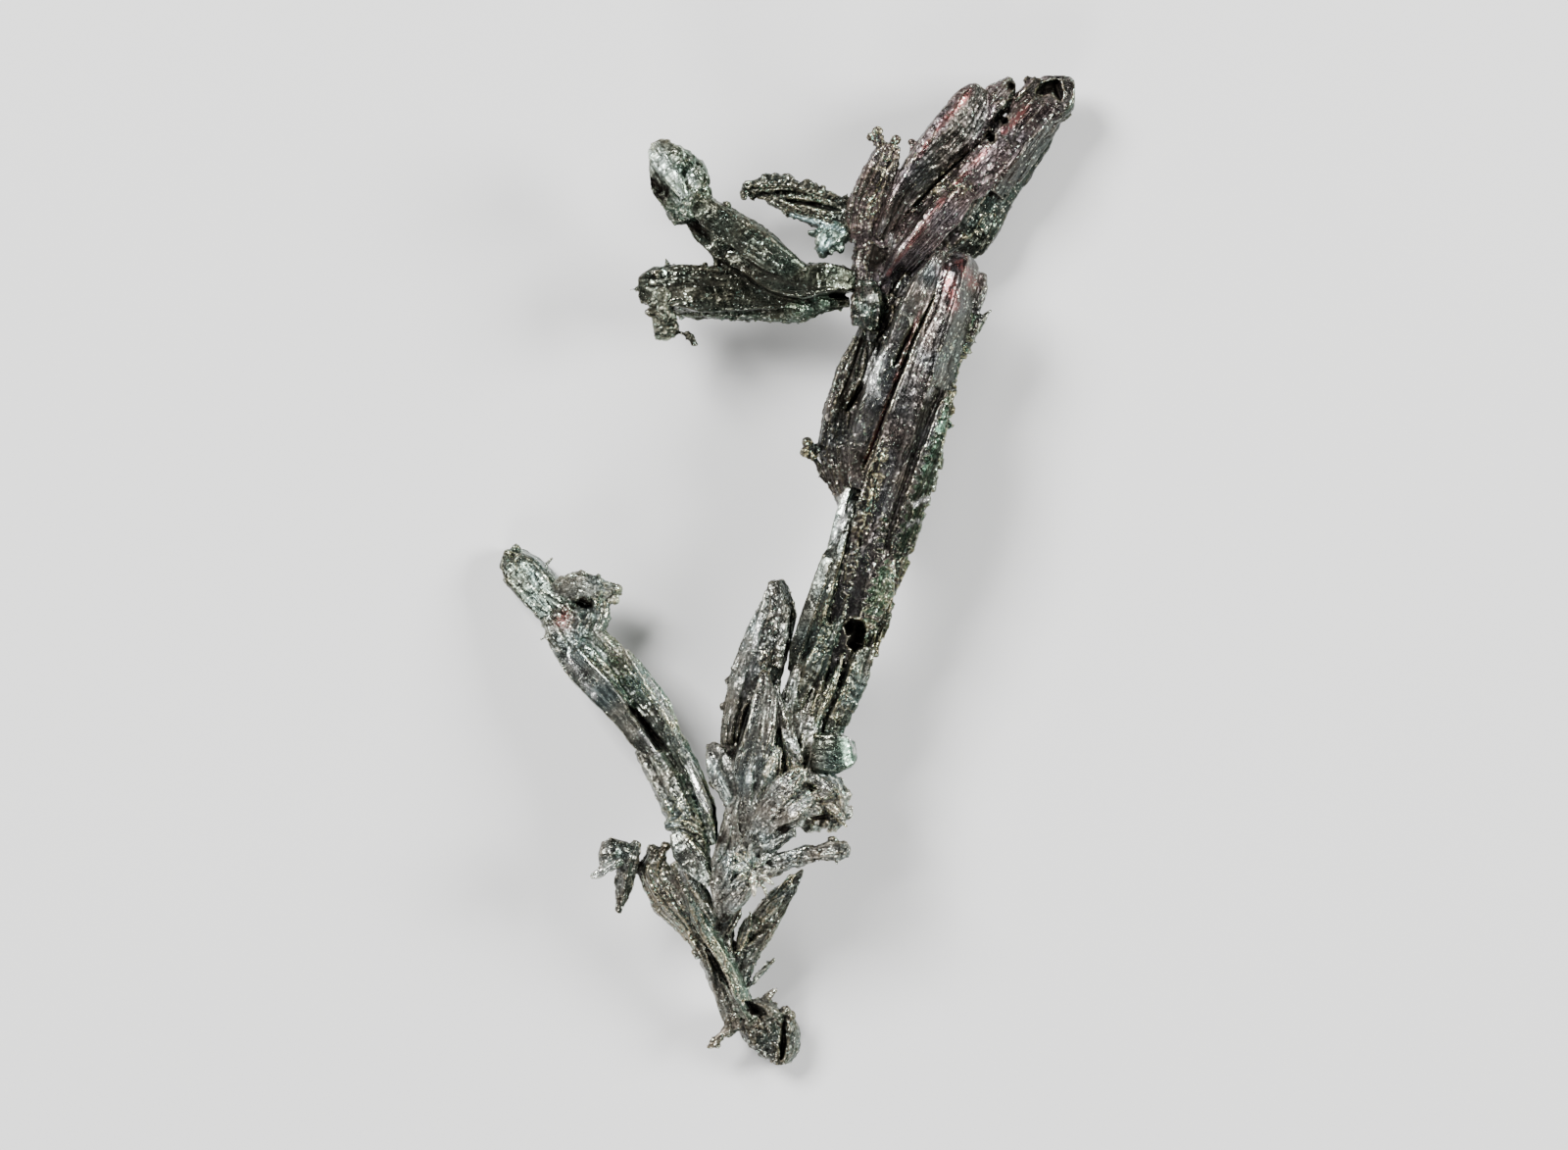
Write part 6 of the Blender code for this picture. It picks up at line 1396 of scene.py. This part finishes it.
upperFanCrystals = {
    "outerRoot": (slab, 8, (
        (5.3, 14.1, 3.6, 1.2, 1.4), (6.9, 15.8, 3.6, 1.9, 1.7), (8.7, 17.5, 3.3, 2.2, 1.6),
    )),
    "trunk": (slab, 0, (
        (4.6, 12.9, 4.0, 1.1, 1.2), (4.6, 14.2, 4.2, 1.8, 1.7), (4.7, 15.8, 4.1, 2.4, 1.7),
        (5.3, 17.4, 4.0, 2.4, 1.6), (6.4, 18.9, 3.8, 1.8, 1.2),
    )),
    "baseBlock": (slab, 12, (
        (4.15, 12.3, 5.0, 1.2, 1.2), (4.3, 12.9, 5.1, 1.65, 1.5), (4.35, 13.7, 5.0, 1.6, 1.5),
        (4.3, 14.2, 4.8, 1.1, 1.1),
    )),
    "shortBlade": (slab, -8, (
        (3.9, 16.6, 4.4, 1.3, 1.0), (4.05, 18.3, 4.6, 1.75, 1.1), (4.65, 19.7, 4.8, 1.65, 1.0),
        (5.2, 20.9, 4.9, 1.45, 0.9), (5.5, 21.6, 4.9, 0.95, 0.6),
    )),
    "tuft": (prism, 0, (
        (5.1, 21.2, 4.9, 0.6, 0.6), (4.8, 21.8, 4.9, 0.6, 0.5), (4.6, 22.25, 4.9, 0.35, 0.3),
    )),
    "secondBlade": (ridged, 2, (
        (5.0, 16.7, 4.7, 0.9, 1.1), (5.9, 18.6, 4.8, 1.5, 1.5), (7.3, 20.6, 4.6, 2.3, 1.9),
        (8.6, 22.1, 4.2, 2.7, 2.1), (9.6, 23.5, 3.8, 2.5, 2.0), (9.95, 24.1, 3.6, 1.9, 1.6),
        (10.15, 24.45, 3.5, 1.2, 1.2),
    )),
    "secondBladeBack": (prism, 0, (
        (9.6, 22.4, 3.2, 1.4, 1.3), (10.9, 24.0, 3.1, 1.6, 1.1), (11.45, 24.7, 3.0, 1.1, 0.8),
        (11.65, 25.0, 3.0, 0.5, 0.4),
    )),
    "floorBlade": (slab, 0, (
        (6.4, 17.8, 3.8, 1.5, 1.0), (8.2, 19.8, 3.9, 2.0, 1.1), (10.0, 21.7, 3.4, 2.2, 1.2),
        (11.2, 22.9, 2.8, 1.6, 1.1),
    )),
    "outerSlab": (ridged, -6, (
        (8.35, 16.5, 3.4, 2.4, 1.7), (9.05, 17.2, 3.3, 3.45, 2.1), (9.9, 18.5, 3.0, 3.45, 2.2),
        (10.85, 19.85, 2.4, 3.1, 2.3), (11.9, 21.2, 1.6, 2.75, 2.5), (12.85, 22.3, 1.2, 2.4, 2.6),
        (13.5, 23.05, 1.2, 1.6, 1.9),
    )),
    "brownBlade": (ridged, -4, (
        (5.1, 14.35, 4.6, 0.9, 1.0), (6.2, 15.8, 4.9, 1.5, 1.4), (7.35, 17.1, 4.9, 1.8, 1.6),
        (8.4, 18.3, 4.7, 1.9, 1.5), (9.3, 19.3, 4.5, 1.3, 1.1),
    )),
    "violetBlade": (ridged, 2, (
        (8.7, 18.9, 4.4, 1.2, 1.0), (9.6, 19.8, 4.5, 2.1, 1.5), (10.5, 20.9, 4.2, 2.1, 1.5),
        (11.1, 21.6, 3.9, 1.5, 1.2), (11.4, 22.0, 3.8, 0.7, 0.7),
    )),
    "crownBlade": (sided, 2, (
        (10.3, 19.5, 3.6, 2.3, 1.5), (11.5, 21.1, 3.6, 2.6, 1.8), (12.6, 22.5, 3.2, 2.5, 1.9),
        (13.3, 23.3, 2.8, 2.2, 1.7), (13.65, 23.75, 2.6, 1.4, 1.2),
    )),
    "hollowEnd": (slab, 0, (
        (11.9, 22.6, 2.5, 1.6, 1.5), (12.85, 23.5, 2.5, 2.45, 1.9), (13.65, 24.25, 2.5, 2.75, 2.0),
        (13.95, 24.8, 2.5, 2.2, 1.6), (14.0, 25.25, 2.5, 1.3, 0.9),
    )),
    "ledge": (prism, 0, (
        (9.2, 19.3, 4.7, 0.5, 0.6), (8.2, 19.25, 4.8, 0.55, 0.45), (7.65, 19.25, 4.7, 0.2, 0.25),
    )),
}
upperFanBeads = (
    (4.75, 22.28, 4.9, 0.3), (4.45, 21.95, 4.9, 0.26), (5.7, 21.8, 4.9, 0.28), (6.5, 21.75, 4.5, 0.22),
    (12.45, 24.95, 2.9, 0.26), (6.6, 21.3, 4.6, 0.24), (9.0, 19.1, 4.9, 0.26),
)
crystalPiece("upperFanCrystals", "upper_fan", upperFanCrystals, upperFanBeads, common | {
    "seed": 503,
    "faceColour": (0.118, 0.09, 0.095), "sideColour": (0.037, 0.054, 0.043),
    "slits": (
        (((6.2, 18.0), (8.0, 19.9), (10.4, 22.1)), 0.16, 0.3),
        (((12.9, 24.3), (13.9, 24.75), (14.15, 24.0)), 0.55, 0.6),
        (((11.5, 24.6), (11.75, 24.75)), 0.4, 0.4),
        (((10.4, 21.9), (10.7, 22.0)), 0.45, 1.2),
        (((11.15, 22.7), (11.35, 22.95)), 0.35, 0.8),
    ),
    "strand": 0.035, "groove": 0.02, "stria": 0.015, "chip": 0.04,
    "calm": {"secondBlade": 0.6, "brownBlade": 0.35, "outerSlab": 0.6, "crownBlade": 0.6, "violetBlade": 0.6,
             "hollowEnd": 0.7, "baseBlock": 0.8},
    "green": {"baseBlock": 0.9, "floorBlade": 0.2, "hollowEnd": 0.4, "outerSlab": 0.35, "outerRoot": 0.2,
              "secondBladeBack": 0.3, "brownBlade": -0.7, "violetBlade": -0.5},
    "tone": {"floorBlade": 0.5, "baseBlock": 1.4, "trunk": 0.7, "outerSlab": 0.55, "outerRoot": 0.6,
             "crownBlade": 0.8, "brownBlade": 1.25, "shortBlade": 0.8},
    "ledges": {"ledge": 1.0, "baseBlock": 1.2, "outerSlab": 0.5, "trunk": 0.8, "outerRoot": 0.8},
    "glintZone": ((7.8, 19.3, 9.4, 19.4, 0.35), (4.7, 22.0, 0.5), (5.6, 21.8, 0.3), (4.4, 18.0, 5.3, 21.0, 0.3),
             (9.4, 17.0, 11.0, 18.0, 0.4), (6.3, 20.6, 6.7, 21.2, 0.2)),
    "edgeGrains": (
        ("shortBlade", (-1, 1), 3.0, 0.1), ("tuft", (-1, 1), 5.0, 0.12), ("secondBlade", (1,), 1.5, 0.09),
        ("violetBlade", (-1,), 3.0, 0.1), ("ledge", (-1, 1), 6.0, 0.13), ("brownBlade", (-1,), 2.0, 0.08),
        ("trunk", (-1, 1), 2.0, 0.12), ("secondBladeBack", (-1,), 3.0, 0.1),
    ),
    "red": (
        (8.0, 22.6, 9.5, 24.3, 0.16), (6.8, 20.9, 8.0, 22.6, 0.1), (11.2, 22.3, 12.4, 23.5, 0.16),
        (8.8, 19.6, 10.4, 21.4, 0.14), (5.3, 15.0, 8.1, 18.8, 0.11),
    ),
    "dark": ((11.6, 24.7, 0.3), (13.7, 24.4, 0.3), (4.4, 16.0, 0.6), (10.55, 21.95, 0.2), (11.2, 22.8, 0.16)),
    "flash": ((5.4, 16.9, 5.5, 16.4, 0.14), (5.1, 17.7, 4.9, 17.2, 0.1)),
})

upperLeftArmCrystals = {
    "underBlade": (slab, -6, (
        (-4.9, 18.0, 5.5, 0.6, 0.7), (-4.1, 17.2, 5.3, 1.0, 0.8), (-3.2, 16.3, 5.2, 1.1, 0.8),
        (-2.5, 15.6, 5.1, 0.9, 0.8),
    )),
    "rootSlab": (slab, -5, (
        (3.5, 14.6, 4.3, 1.1, 1.3), (2.3, 14.75, 4.8, 1.5, 1.6), (0.8, 14.6, 5.2, 1.8, 1.8),
        (-0.7, 14.9, 5.4, 1.75, 1.7), (-1.9, 15.45, 5.5, 1.25, 1.4), (-2.95, 15.95, 5.5, 0.6, 0.8),
    )),
    "leftSlab": (slab, -6, (
        (1.0, 13.9, 4.3, 1.2, 1.4), (-1.2, 14.05, 4.5, 1.8, 1.6), (-3.4, 14.25, 4.6, 2.35, 1.7),
        (-5.4, 14.3, 4.6, 2.45, 1.7), (-6.7, 14.25, 4.5, 1.95, 1.4), (-7.35, 14.25, 4.4, 1.1, 0.8),
    )),
    "hangingCrust": (prism, 0, (
        (-6.1, 13.9, 4.9, 1.1, 1.2), (-6.25, 13.3, 5.0, 0.75, 0.9), (-6.1, 12.8, 5.1, 1.2, 1.15),
        (-6.25, 12.4, 5.0, 0.85, 0.8), (-6.0, 12.0, 5.05, 1.1, 0.95), (-5.8, 11.7, 5.0, 0.45, 0.45),
    )),
    "crustLump1": (sided, 35, (
        (-6.6, 12.95, 5.2, 0.3, 0.3), (-6.2, 12.75, 5.5, 0.7, 0.6), (-5.75, 12.7, 5.3, 0.3, 0.3),
    )),
    "crustLump2": (sided, -30, (
        (-6.5, 12.0, 5.1, 0.3, 0.3), (-6.1, 12.15, 5.45, 0.65, 0.55), (-5.6, 12.2, 5.2, 0.3, 0.3),
    )),
    "crustTwig": (needle, 0, (
        (-6.0, 11.95, 4.9, 0.35, 0.4), (-5.1, 11.95, 4.9, 0.3, 0.32), (-4.7, 11.65, 4.9, 0.32, 0.32),
        (-4.37, 11.38, 4.9, 0.12, 0.12),
    )),
    "rearSliver": (prism, 0, (
        (-5.4, 13.0, 3.9, 0.5, 0.7), (-3.8, 13.2, 4.0, 0.9, 1.1), (-1.6, 13.15, 4.2, 1.1, 1.2),
        (0.4, 13.2, 4.3, 1.2, 1.2), (2.0, 13.5, 4.3, 1.0, 1.0), (3.4, 13.6, 4.3, 0.6, 0.7),
    )),
    "greenCrystal1": (prism, 0, (
        (0.1, 13.35, 4.7, 0.6, 0.6), (0.65, 13.22, 4.9, 0.98, 0.8), (1.2, 13.2, 4.7, 0.5, 0.5),
    )),
    "greenCrystal2": (prism, 0, (
        (1.45, 13.6, 4.7, 0.5, 0.5), (1.9, 13.55, 4.8, 0.7, 0.6), (2.35, 13.5, 4.7, 0.4, 0.4),
    )),
    "diagonalBlade": (slab, 12, (
        (0.9, 15.0, 5.6, 0.9, 0.9), (-0.4, 15.75, 6.0, 1.6, 1.3), (-1.7, 16.7, 6.3, 1.7, 1.4),
        (-3.0, 17.55, 6.4, 1.55, 1.3), (-4.1, 18.3, 6.4, 1.2, 1.0), (-4.7, 18.9, 6.4, 0.8, 0.8),
    )),
    "nugget": (ridged, 20, (
        (-4.25, 18.15, 6.3, 1.5, 1.3), (-4.95, 18.95, 6.4, 2.7, 2.0), (-5.5, 19.95, 6.5, 2.85, 2.3),
        (-5.95, 20.7, 6.5, 2.1, 2.0), (-6.25, 21.25, 6.4, 1.3, 1.3), (-6.35, 21.6, 6.3, 0.7, 0.7),
    )),
    "nuggetFacet1": (prism, 30, (
        (-5.0, 18.4, 7.0, 0.4, 0.4), (-4.75, 19.15, 7.2, 0.95, 0.7), (-4.55, 19.9, 7.1, 0.95, 0.7),
        (-4.7, 20.5, 6.9, 0.4, 0.4),
    )),
    "nuggetFacet2": (slab, -20, (
        (-5.1, 20.2, 7.2, 0.5, 0.4), (-5.6, 20.8, 7.2, 1.0, 0.7), (-6.1, 21.35, 6.9, 0.8, 0.6),
        (-6.35, 21.65, 6.6, 0.35, 0.3),
    )),
    "nuggetFacet3": (slab, 0, (
        (-6.6, 21.1, 6.8, 0.5, 0.5), (-6.1, 20.4, 7.15, 0.85, 0.7), (-5.5, 19.55, 7.55, 0.85, 0.7),
        (-5.0, 18.75, 7.6, 0.4, 0.4),
    )),
    "nuggetChip": (prism, 0, (
        (-4.6, 18.4, 6.0, 0.9, 1.0), (-5.3, 17.95, 5.8, 1.1, 1.0), (-5.85, 18.6, 5.9, 0.9, 0.9),
    )),
    "filigree": (needle, 0, (
        (-4.15, 16.95, 5.3, 0.2, 0.22), (-3.6, 16.2, 5.2, 0.32, 0.32), (-3.3, 15.2, 5.0, 0.4, 0.4),
    )),
    "endSpike": (needle, 0, (
        (-6.8, 14.3, 4.6, 0.5, 0.5), (-7.85, 14.2, 4.6, 0.1, 0.1),
    )),
    "topSpike": (needle, 0, (
        (-5.9, 14.9, 4.8, 0.5, 0.5), (-6.02, 15.82, 4.9, 0.12, 0.12),
    )),
}
upperLeftArmBeads = (
    (-6.7, 13.05, 5.1, 0.28), (-6.45, 12.3, 5.2, 0.3), (-6.0, 11.9, 5.2, 0.3), (-5.6, 12.3, 5.1, 0.3),
    (-5.7, 12.85, 5.3, 0.28), (-4.75, 11.75, 5.0, 0.2), (-2.9, 18.4, 6.5, 0.26),
    (-6.5, 15.0, 5.1, 0.26),
)
crystalPiece("upperLeftArmCrystals", "upper_left_arm", upperLeftArmCrystals, upperLeftArmBeads, common | {
    "seed": 601,
    "faceColour": (0.053, 0.056, 0.044), "sideColour": (0.042, 0.062, 0.044),
    "glintColour": (0.72, 0.66, 0.46), "flashColour": (0.84, 0.98, 0.89),
    "calm": {"nugget": 0.8, "nuggetFacet1": 0.9, "nuggetFacet2": 0.7, "nuggetFacet3": 0.3, "nuggetChip": 0.8,
             "greenCrystal1": 0.6, "greenCrystal2": 0.6, "leftSlab": 0.45, "rootSlab": 0.4,
             "diagonalBlade": 0.6},
    "wander": 0.14, "strand": 0.03, "groove": 0.015, "fissure": 0.08, "stria": 0.01, "chip": 0.07,
    "chipStep": 0.03, "chipPerMm": 3.6, "lump": 0.1, "striaDepth": 0.00002,
    "ledges": {"nugget": 1.0, "nuggetFacet1": 1.0, "nuggetFacet2": 0.8},
    "green": {"greenCrystal1": 0.9, "greenCrystal2": 0.9, "rearSliver": 0.4, "nugget": 0.4,
              "nuggetFacet3": 0.4, "nuggetChip": 0.3, "diagonalBlade": 0.1},
    # the nugget facets' high tones paint a highlight streak across the nugget
    "tone": {"nugget": 3.0, "nuggetFacet1": 8.5, "nuggetFacet2": 4.0, "nuggetFacet3": 13.0, "nuggetChip": 1.6,
             "leftSlab": 0.85, "rootSlab": 0.85, "greenCrystal1": 2.6, "greenCrystal2": 2.6,
             "diagonalBlade": 1.35, "hangingCrust": 2.8},
    "glintZone": ((-6.4, 15.0, -3.4, 15.3, 0.22), (-6.0, 13.0, -6.0, 11.8, 0.6), (-6.9, 14.4, 0.4),
             (-3.3, 18.3, -0.6, 16.5, 0.28), (-5.3, 18.3, -4.2, 19.2, 0.35), (-4.8, 13.6, -2.5, 14.0, 0.25)),
    "edgeGrains": (
        ("leftSlab", (-1, 1), 4.0, 0.13), ("diagonalBlade", (-1, 1), 3.0, 0.12),
        ("rootSlab", (-1, 1), 2.5, 0.11),
        ("nugget", (-1, 1), 3.5, 0.13), ("nuggetFacet1", (-1, 0, 1), 5.0, 0.13),
        ("nuggetFacet3", (-1,), 2.0, 0.1), ("hangingCrust", (-1, 0, 1), 8.0, 0.16),
        ("crustTwig", (-1, 1), 5.0, 0.11),
        ("nuggetChip", (-1, 1), 4.0, 0.13), ("rearSliver", (-1, 1), 2.5, 0.12),
    ),
    "slits": ((((-6.75, 19.8), (-6.45, 19.3), (-6.15, 19.0)), 0.4, 0.35),),
    "flash": ((-6.6, 21.0, -5.9, 20.1, 0.42), (-5.9, 20.2, -5.1, 18.8, 0.4), (-4.8, 20.1, -4.5, 19.3, 0.2)),
    "dark": ((-6.35, 19.35, 0.65), (-6.1, 18.85, 0.3), (-4.2, 17.3, 0.4), (-6.0, 18.6, 0.2)),
})

upperSideArmCrystals = {
    "ribbedBlade": (slab, -8, (
        (3.8, 17.6, 4.2, 1.2, 1.0), (2.4, 17.95, 4.0, 1.55, 1.0), (1.0, 18.45, 3.8, 1.4, 0.9),
        (0.0, 18.85, 3.6, 1.0, 0.7), (-1.2, 19.35, 3.5, 0.6, 0.5),
    )),
    "lowerRib": (prism, 0, (
        (3.7, 17.2, 4.4, 0.6, 0.6), (1.8, 17.65, 4.4, 0.6, 0.6), (0.6, 18.0, 4.3, 0.5, 0.5),
        (-0.15, 18.3, 4.2, 0.3, 0.3),
    )),
    "crest": (prism, 0, (
        (3.2, 18.6, 3.9, 0.5, 0.6), (1.9, 19.1, 3.9, 0.65, 0.7), (0.3, 19.5, 3.8, 0.85, 0.8),
        (-1.0, 19.5, 3.7, 1.0, 0.8), (-1.6, 19.35, 3.6, 0.9, 0.6), (-2.0, 19.2, 3.5, 0.5, 0.4),
    )),
    "paleCrystal": (prism, -10, (
        (3.3, 17.3, 4.4, 0.9, 0.7), (2.6, 16.95, 4.5, 1.7, 0.9), (2.2, 16.6, 4.6, 1.6, 0.9),
        (2.0, 16.15, 4.7, 0.9, 0.6), (1.9, 15.85, 4.7, 0.35, 0.3),
    )),
    "paleWing": (prism, 0, (
        (3.4, 17.1, 4.3, 0.6, 0.6), (2.3, 17.0, 4.5, 0.9, 0.7), (1.2, 17.15, 4.5, 0.3, 0.3),
    )),
}
upperSideArmBeads = (
    (-1.8, 19.6, 3.8, 0.3), (-2.0, 19.15, 3.6, 0.26), (-0.95, 19.85, 3.8, 0.3), (-0.45, 19.85, 3.9, 0.34),
    (0.3, 19.75, 3.9, 0.26), (1.2, 19.6, 4.0, 0.32), (2.2, 19.1, 4.0, 0.24), (-1.5, 19.1, 3.6, 0.26),
)
crystalPiece("upperSideArmCrystals", "upper_side_arm", upperSideArmCrystals, upperSideArmBeads, common | {
    "seed": 701,
    "faceColour": (0.06, 0.062, 0.053), "sideColour": (0.05, 0.075, 0.065), "glintColour": (0.72, 0.66, 0.46),
    "calm": {"paleCrystal": 0.8, "paleWing": 0.8}, "flashColour": (0.6, 0.86, 0.86),
    "wander": 0.12, "strand": 0.03, "chip": 0.09, "chipStep": 0.03, "chipPerMm": 4.0, "lump": 0.06,
    "green": {"paleCrystal": 1.0, "paleWing": 1.0},
    "tone": {"paleCrystal": 3.2, "paleWing": 3.0, "crest": 0.8},
    "glintZone": ((-1.7, 19.4, 2.2, 19.0, 0.5), (0.2, 18.5, 3.2, 17.5, 0.35)),
    "edgeGrains": (
        ("crest", (-1, 0, 1), 8.0, 0.18), ("ribbedBlade", (-1, 1), 3.0, 0.1), ("lowerRib", (-1,), 3.0, 0.1),
        ("paleCrystal", (-1, 1), 3.0, 0.13),
    ),
    "slits": ((((3.0, 18.2), (1.4, 18.6), (0.0, 18.8)), 0.26, 0.5),),
    "flash": ((2.2, 16.6, 1.9, 16.2, 0.2), (3.0, 17.2, 0.4, 18.0, 0.1)),
})

# the stage: a pale floor, a camera straight above, and soft boxes round it
stage = {
    "floorSize": 3.0, "floorRows": 13, "floorColour": (0.78, 0.78, 0.77, 1),
    "floorPatch": (0.74, 0.74, 0.735, 1), "cameraHeight": 0.404, "lens": 180.0, "sensor": 36.0,
    "lookAt": (0.0, -0.000325), "clip": (0.01, 10.0),
    "lights": (
        # name, place, size and watts; all of them aim at the origin
        ("keySoftbox", (-0.26, 0.24, 0.38), 0.2, 5.5),
        ("fillSoftbox", (0.36, 0.06, 0.24), 0.16, 3.0),
        ("lowSoftbox", (-0.1, -0.42, 0.3), 0.2, 1.6),
    ),
    "worldColour": (0.9, 0.92, 0.95, 1), "worldStrength": 0.09,
}


def makeFloor():
    # a level grid of points from -half to half each way, joined by quads
    half, rows = stage["floorSize"] / 2, stage["floorRows"]
    u, v = np.meshgrid(np.linspace(-half, half, rows), np.linspace(-half, half, rows), indexing="ij")
    points = np.stack([u, v, 0 * u], -1).reshape(-1, 3)
    i, j = np.meshgrid(np.arange(rows - 1), np.arange(rows - 1), indexing="ij")
    corner = i * rows + j
    quads = np.stack([corner, corner + rows, corner + rows + 1, corner + 1], -1).reshape(-1, 4)
    floor = bpy.data.objects.new("floor", meshFrom("floor", points, quads))
    material = bpy.data.materials.new("paleFloor")
    material.use_nodes = True
    tree = material.node_tree
    shader = tree.nodes["Principled BSDF"]
    place = addNode(tree, "ShaderNodeTexCoord").outputs["Object"]
    cloud = addNode(tree, "ShaderNodeTexNoise", Vector=place, Scale=40.0, Detail=3.0).outputs["Fac"]
    colour = mixedColour(tree, cloud, stage["floorColour"], stage["floorPatch"])
    tree.links.new(colour, shader.inputs["Base Color"])
    shader.inputs["Roughness"].default_value = 0.8
    floor.data.materials.append(material)
    bpy.context.scene.collection.objects.link(floor)


def aimedAt(obj, place, target):
    # turned so that its own -Z looks from place to target
    way = mathutils.Vector(target) - mathutils.Vector(place)
    obj.location = place
    obj.rotation_euler = way.to_track_quat("-Z", "Y").to_euler()


makeFloor()
for name, place, size, watts in stage["lights"]:
    light = bpy.data.lights.new(name, "AREA")
    light.shape, light.size, light.energy = "SQUARE", size, watts
    lamp = bpy.data.objects.new(name, light)
    aimedAt(lamp, place, (0, 0, 0))
    bpy.context.scene.collection.objects.link(lamp)

world = bpy.context.scene.world or bpy.data.worlds.new("softGrey")
bpy.context.scene.world = world
world.use_nodes = True
background = world.node_tree.nodes["Background"]
background.inputs[0].default_value = stage["worldColour"]
background.inputs[1].default_value = stage["worldStrength"]

lens = bpy.data.cameras.new("camera")
lens.lens, lens.sensor_width = stage["lens"], stage["sensor"]
lens.clip_start, lens.clip_end = stage["clip"]
camera = bpy.data.objects.new("camera", lens)
camera.location = (*stage["lookAt"], stage["cameraHeight"])
bpy.context.scene.collection.objects.link(camera)
bpy.context.scene.camera = camera
print("stage: camera and lights ready")
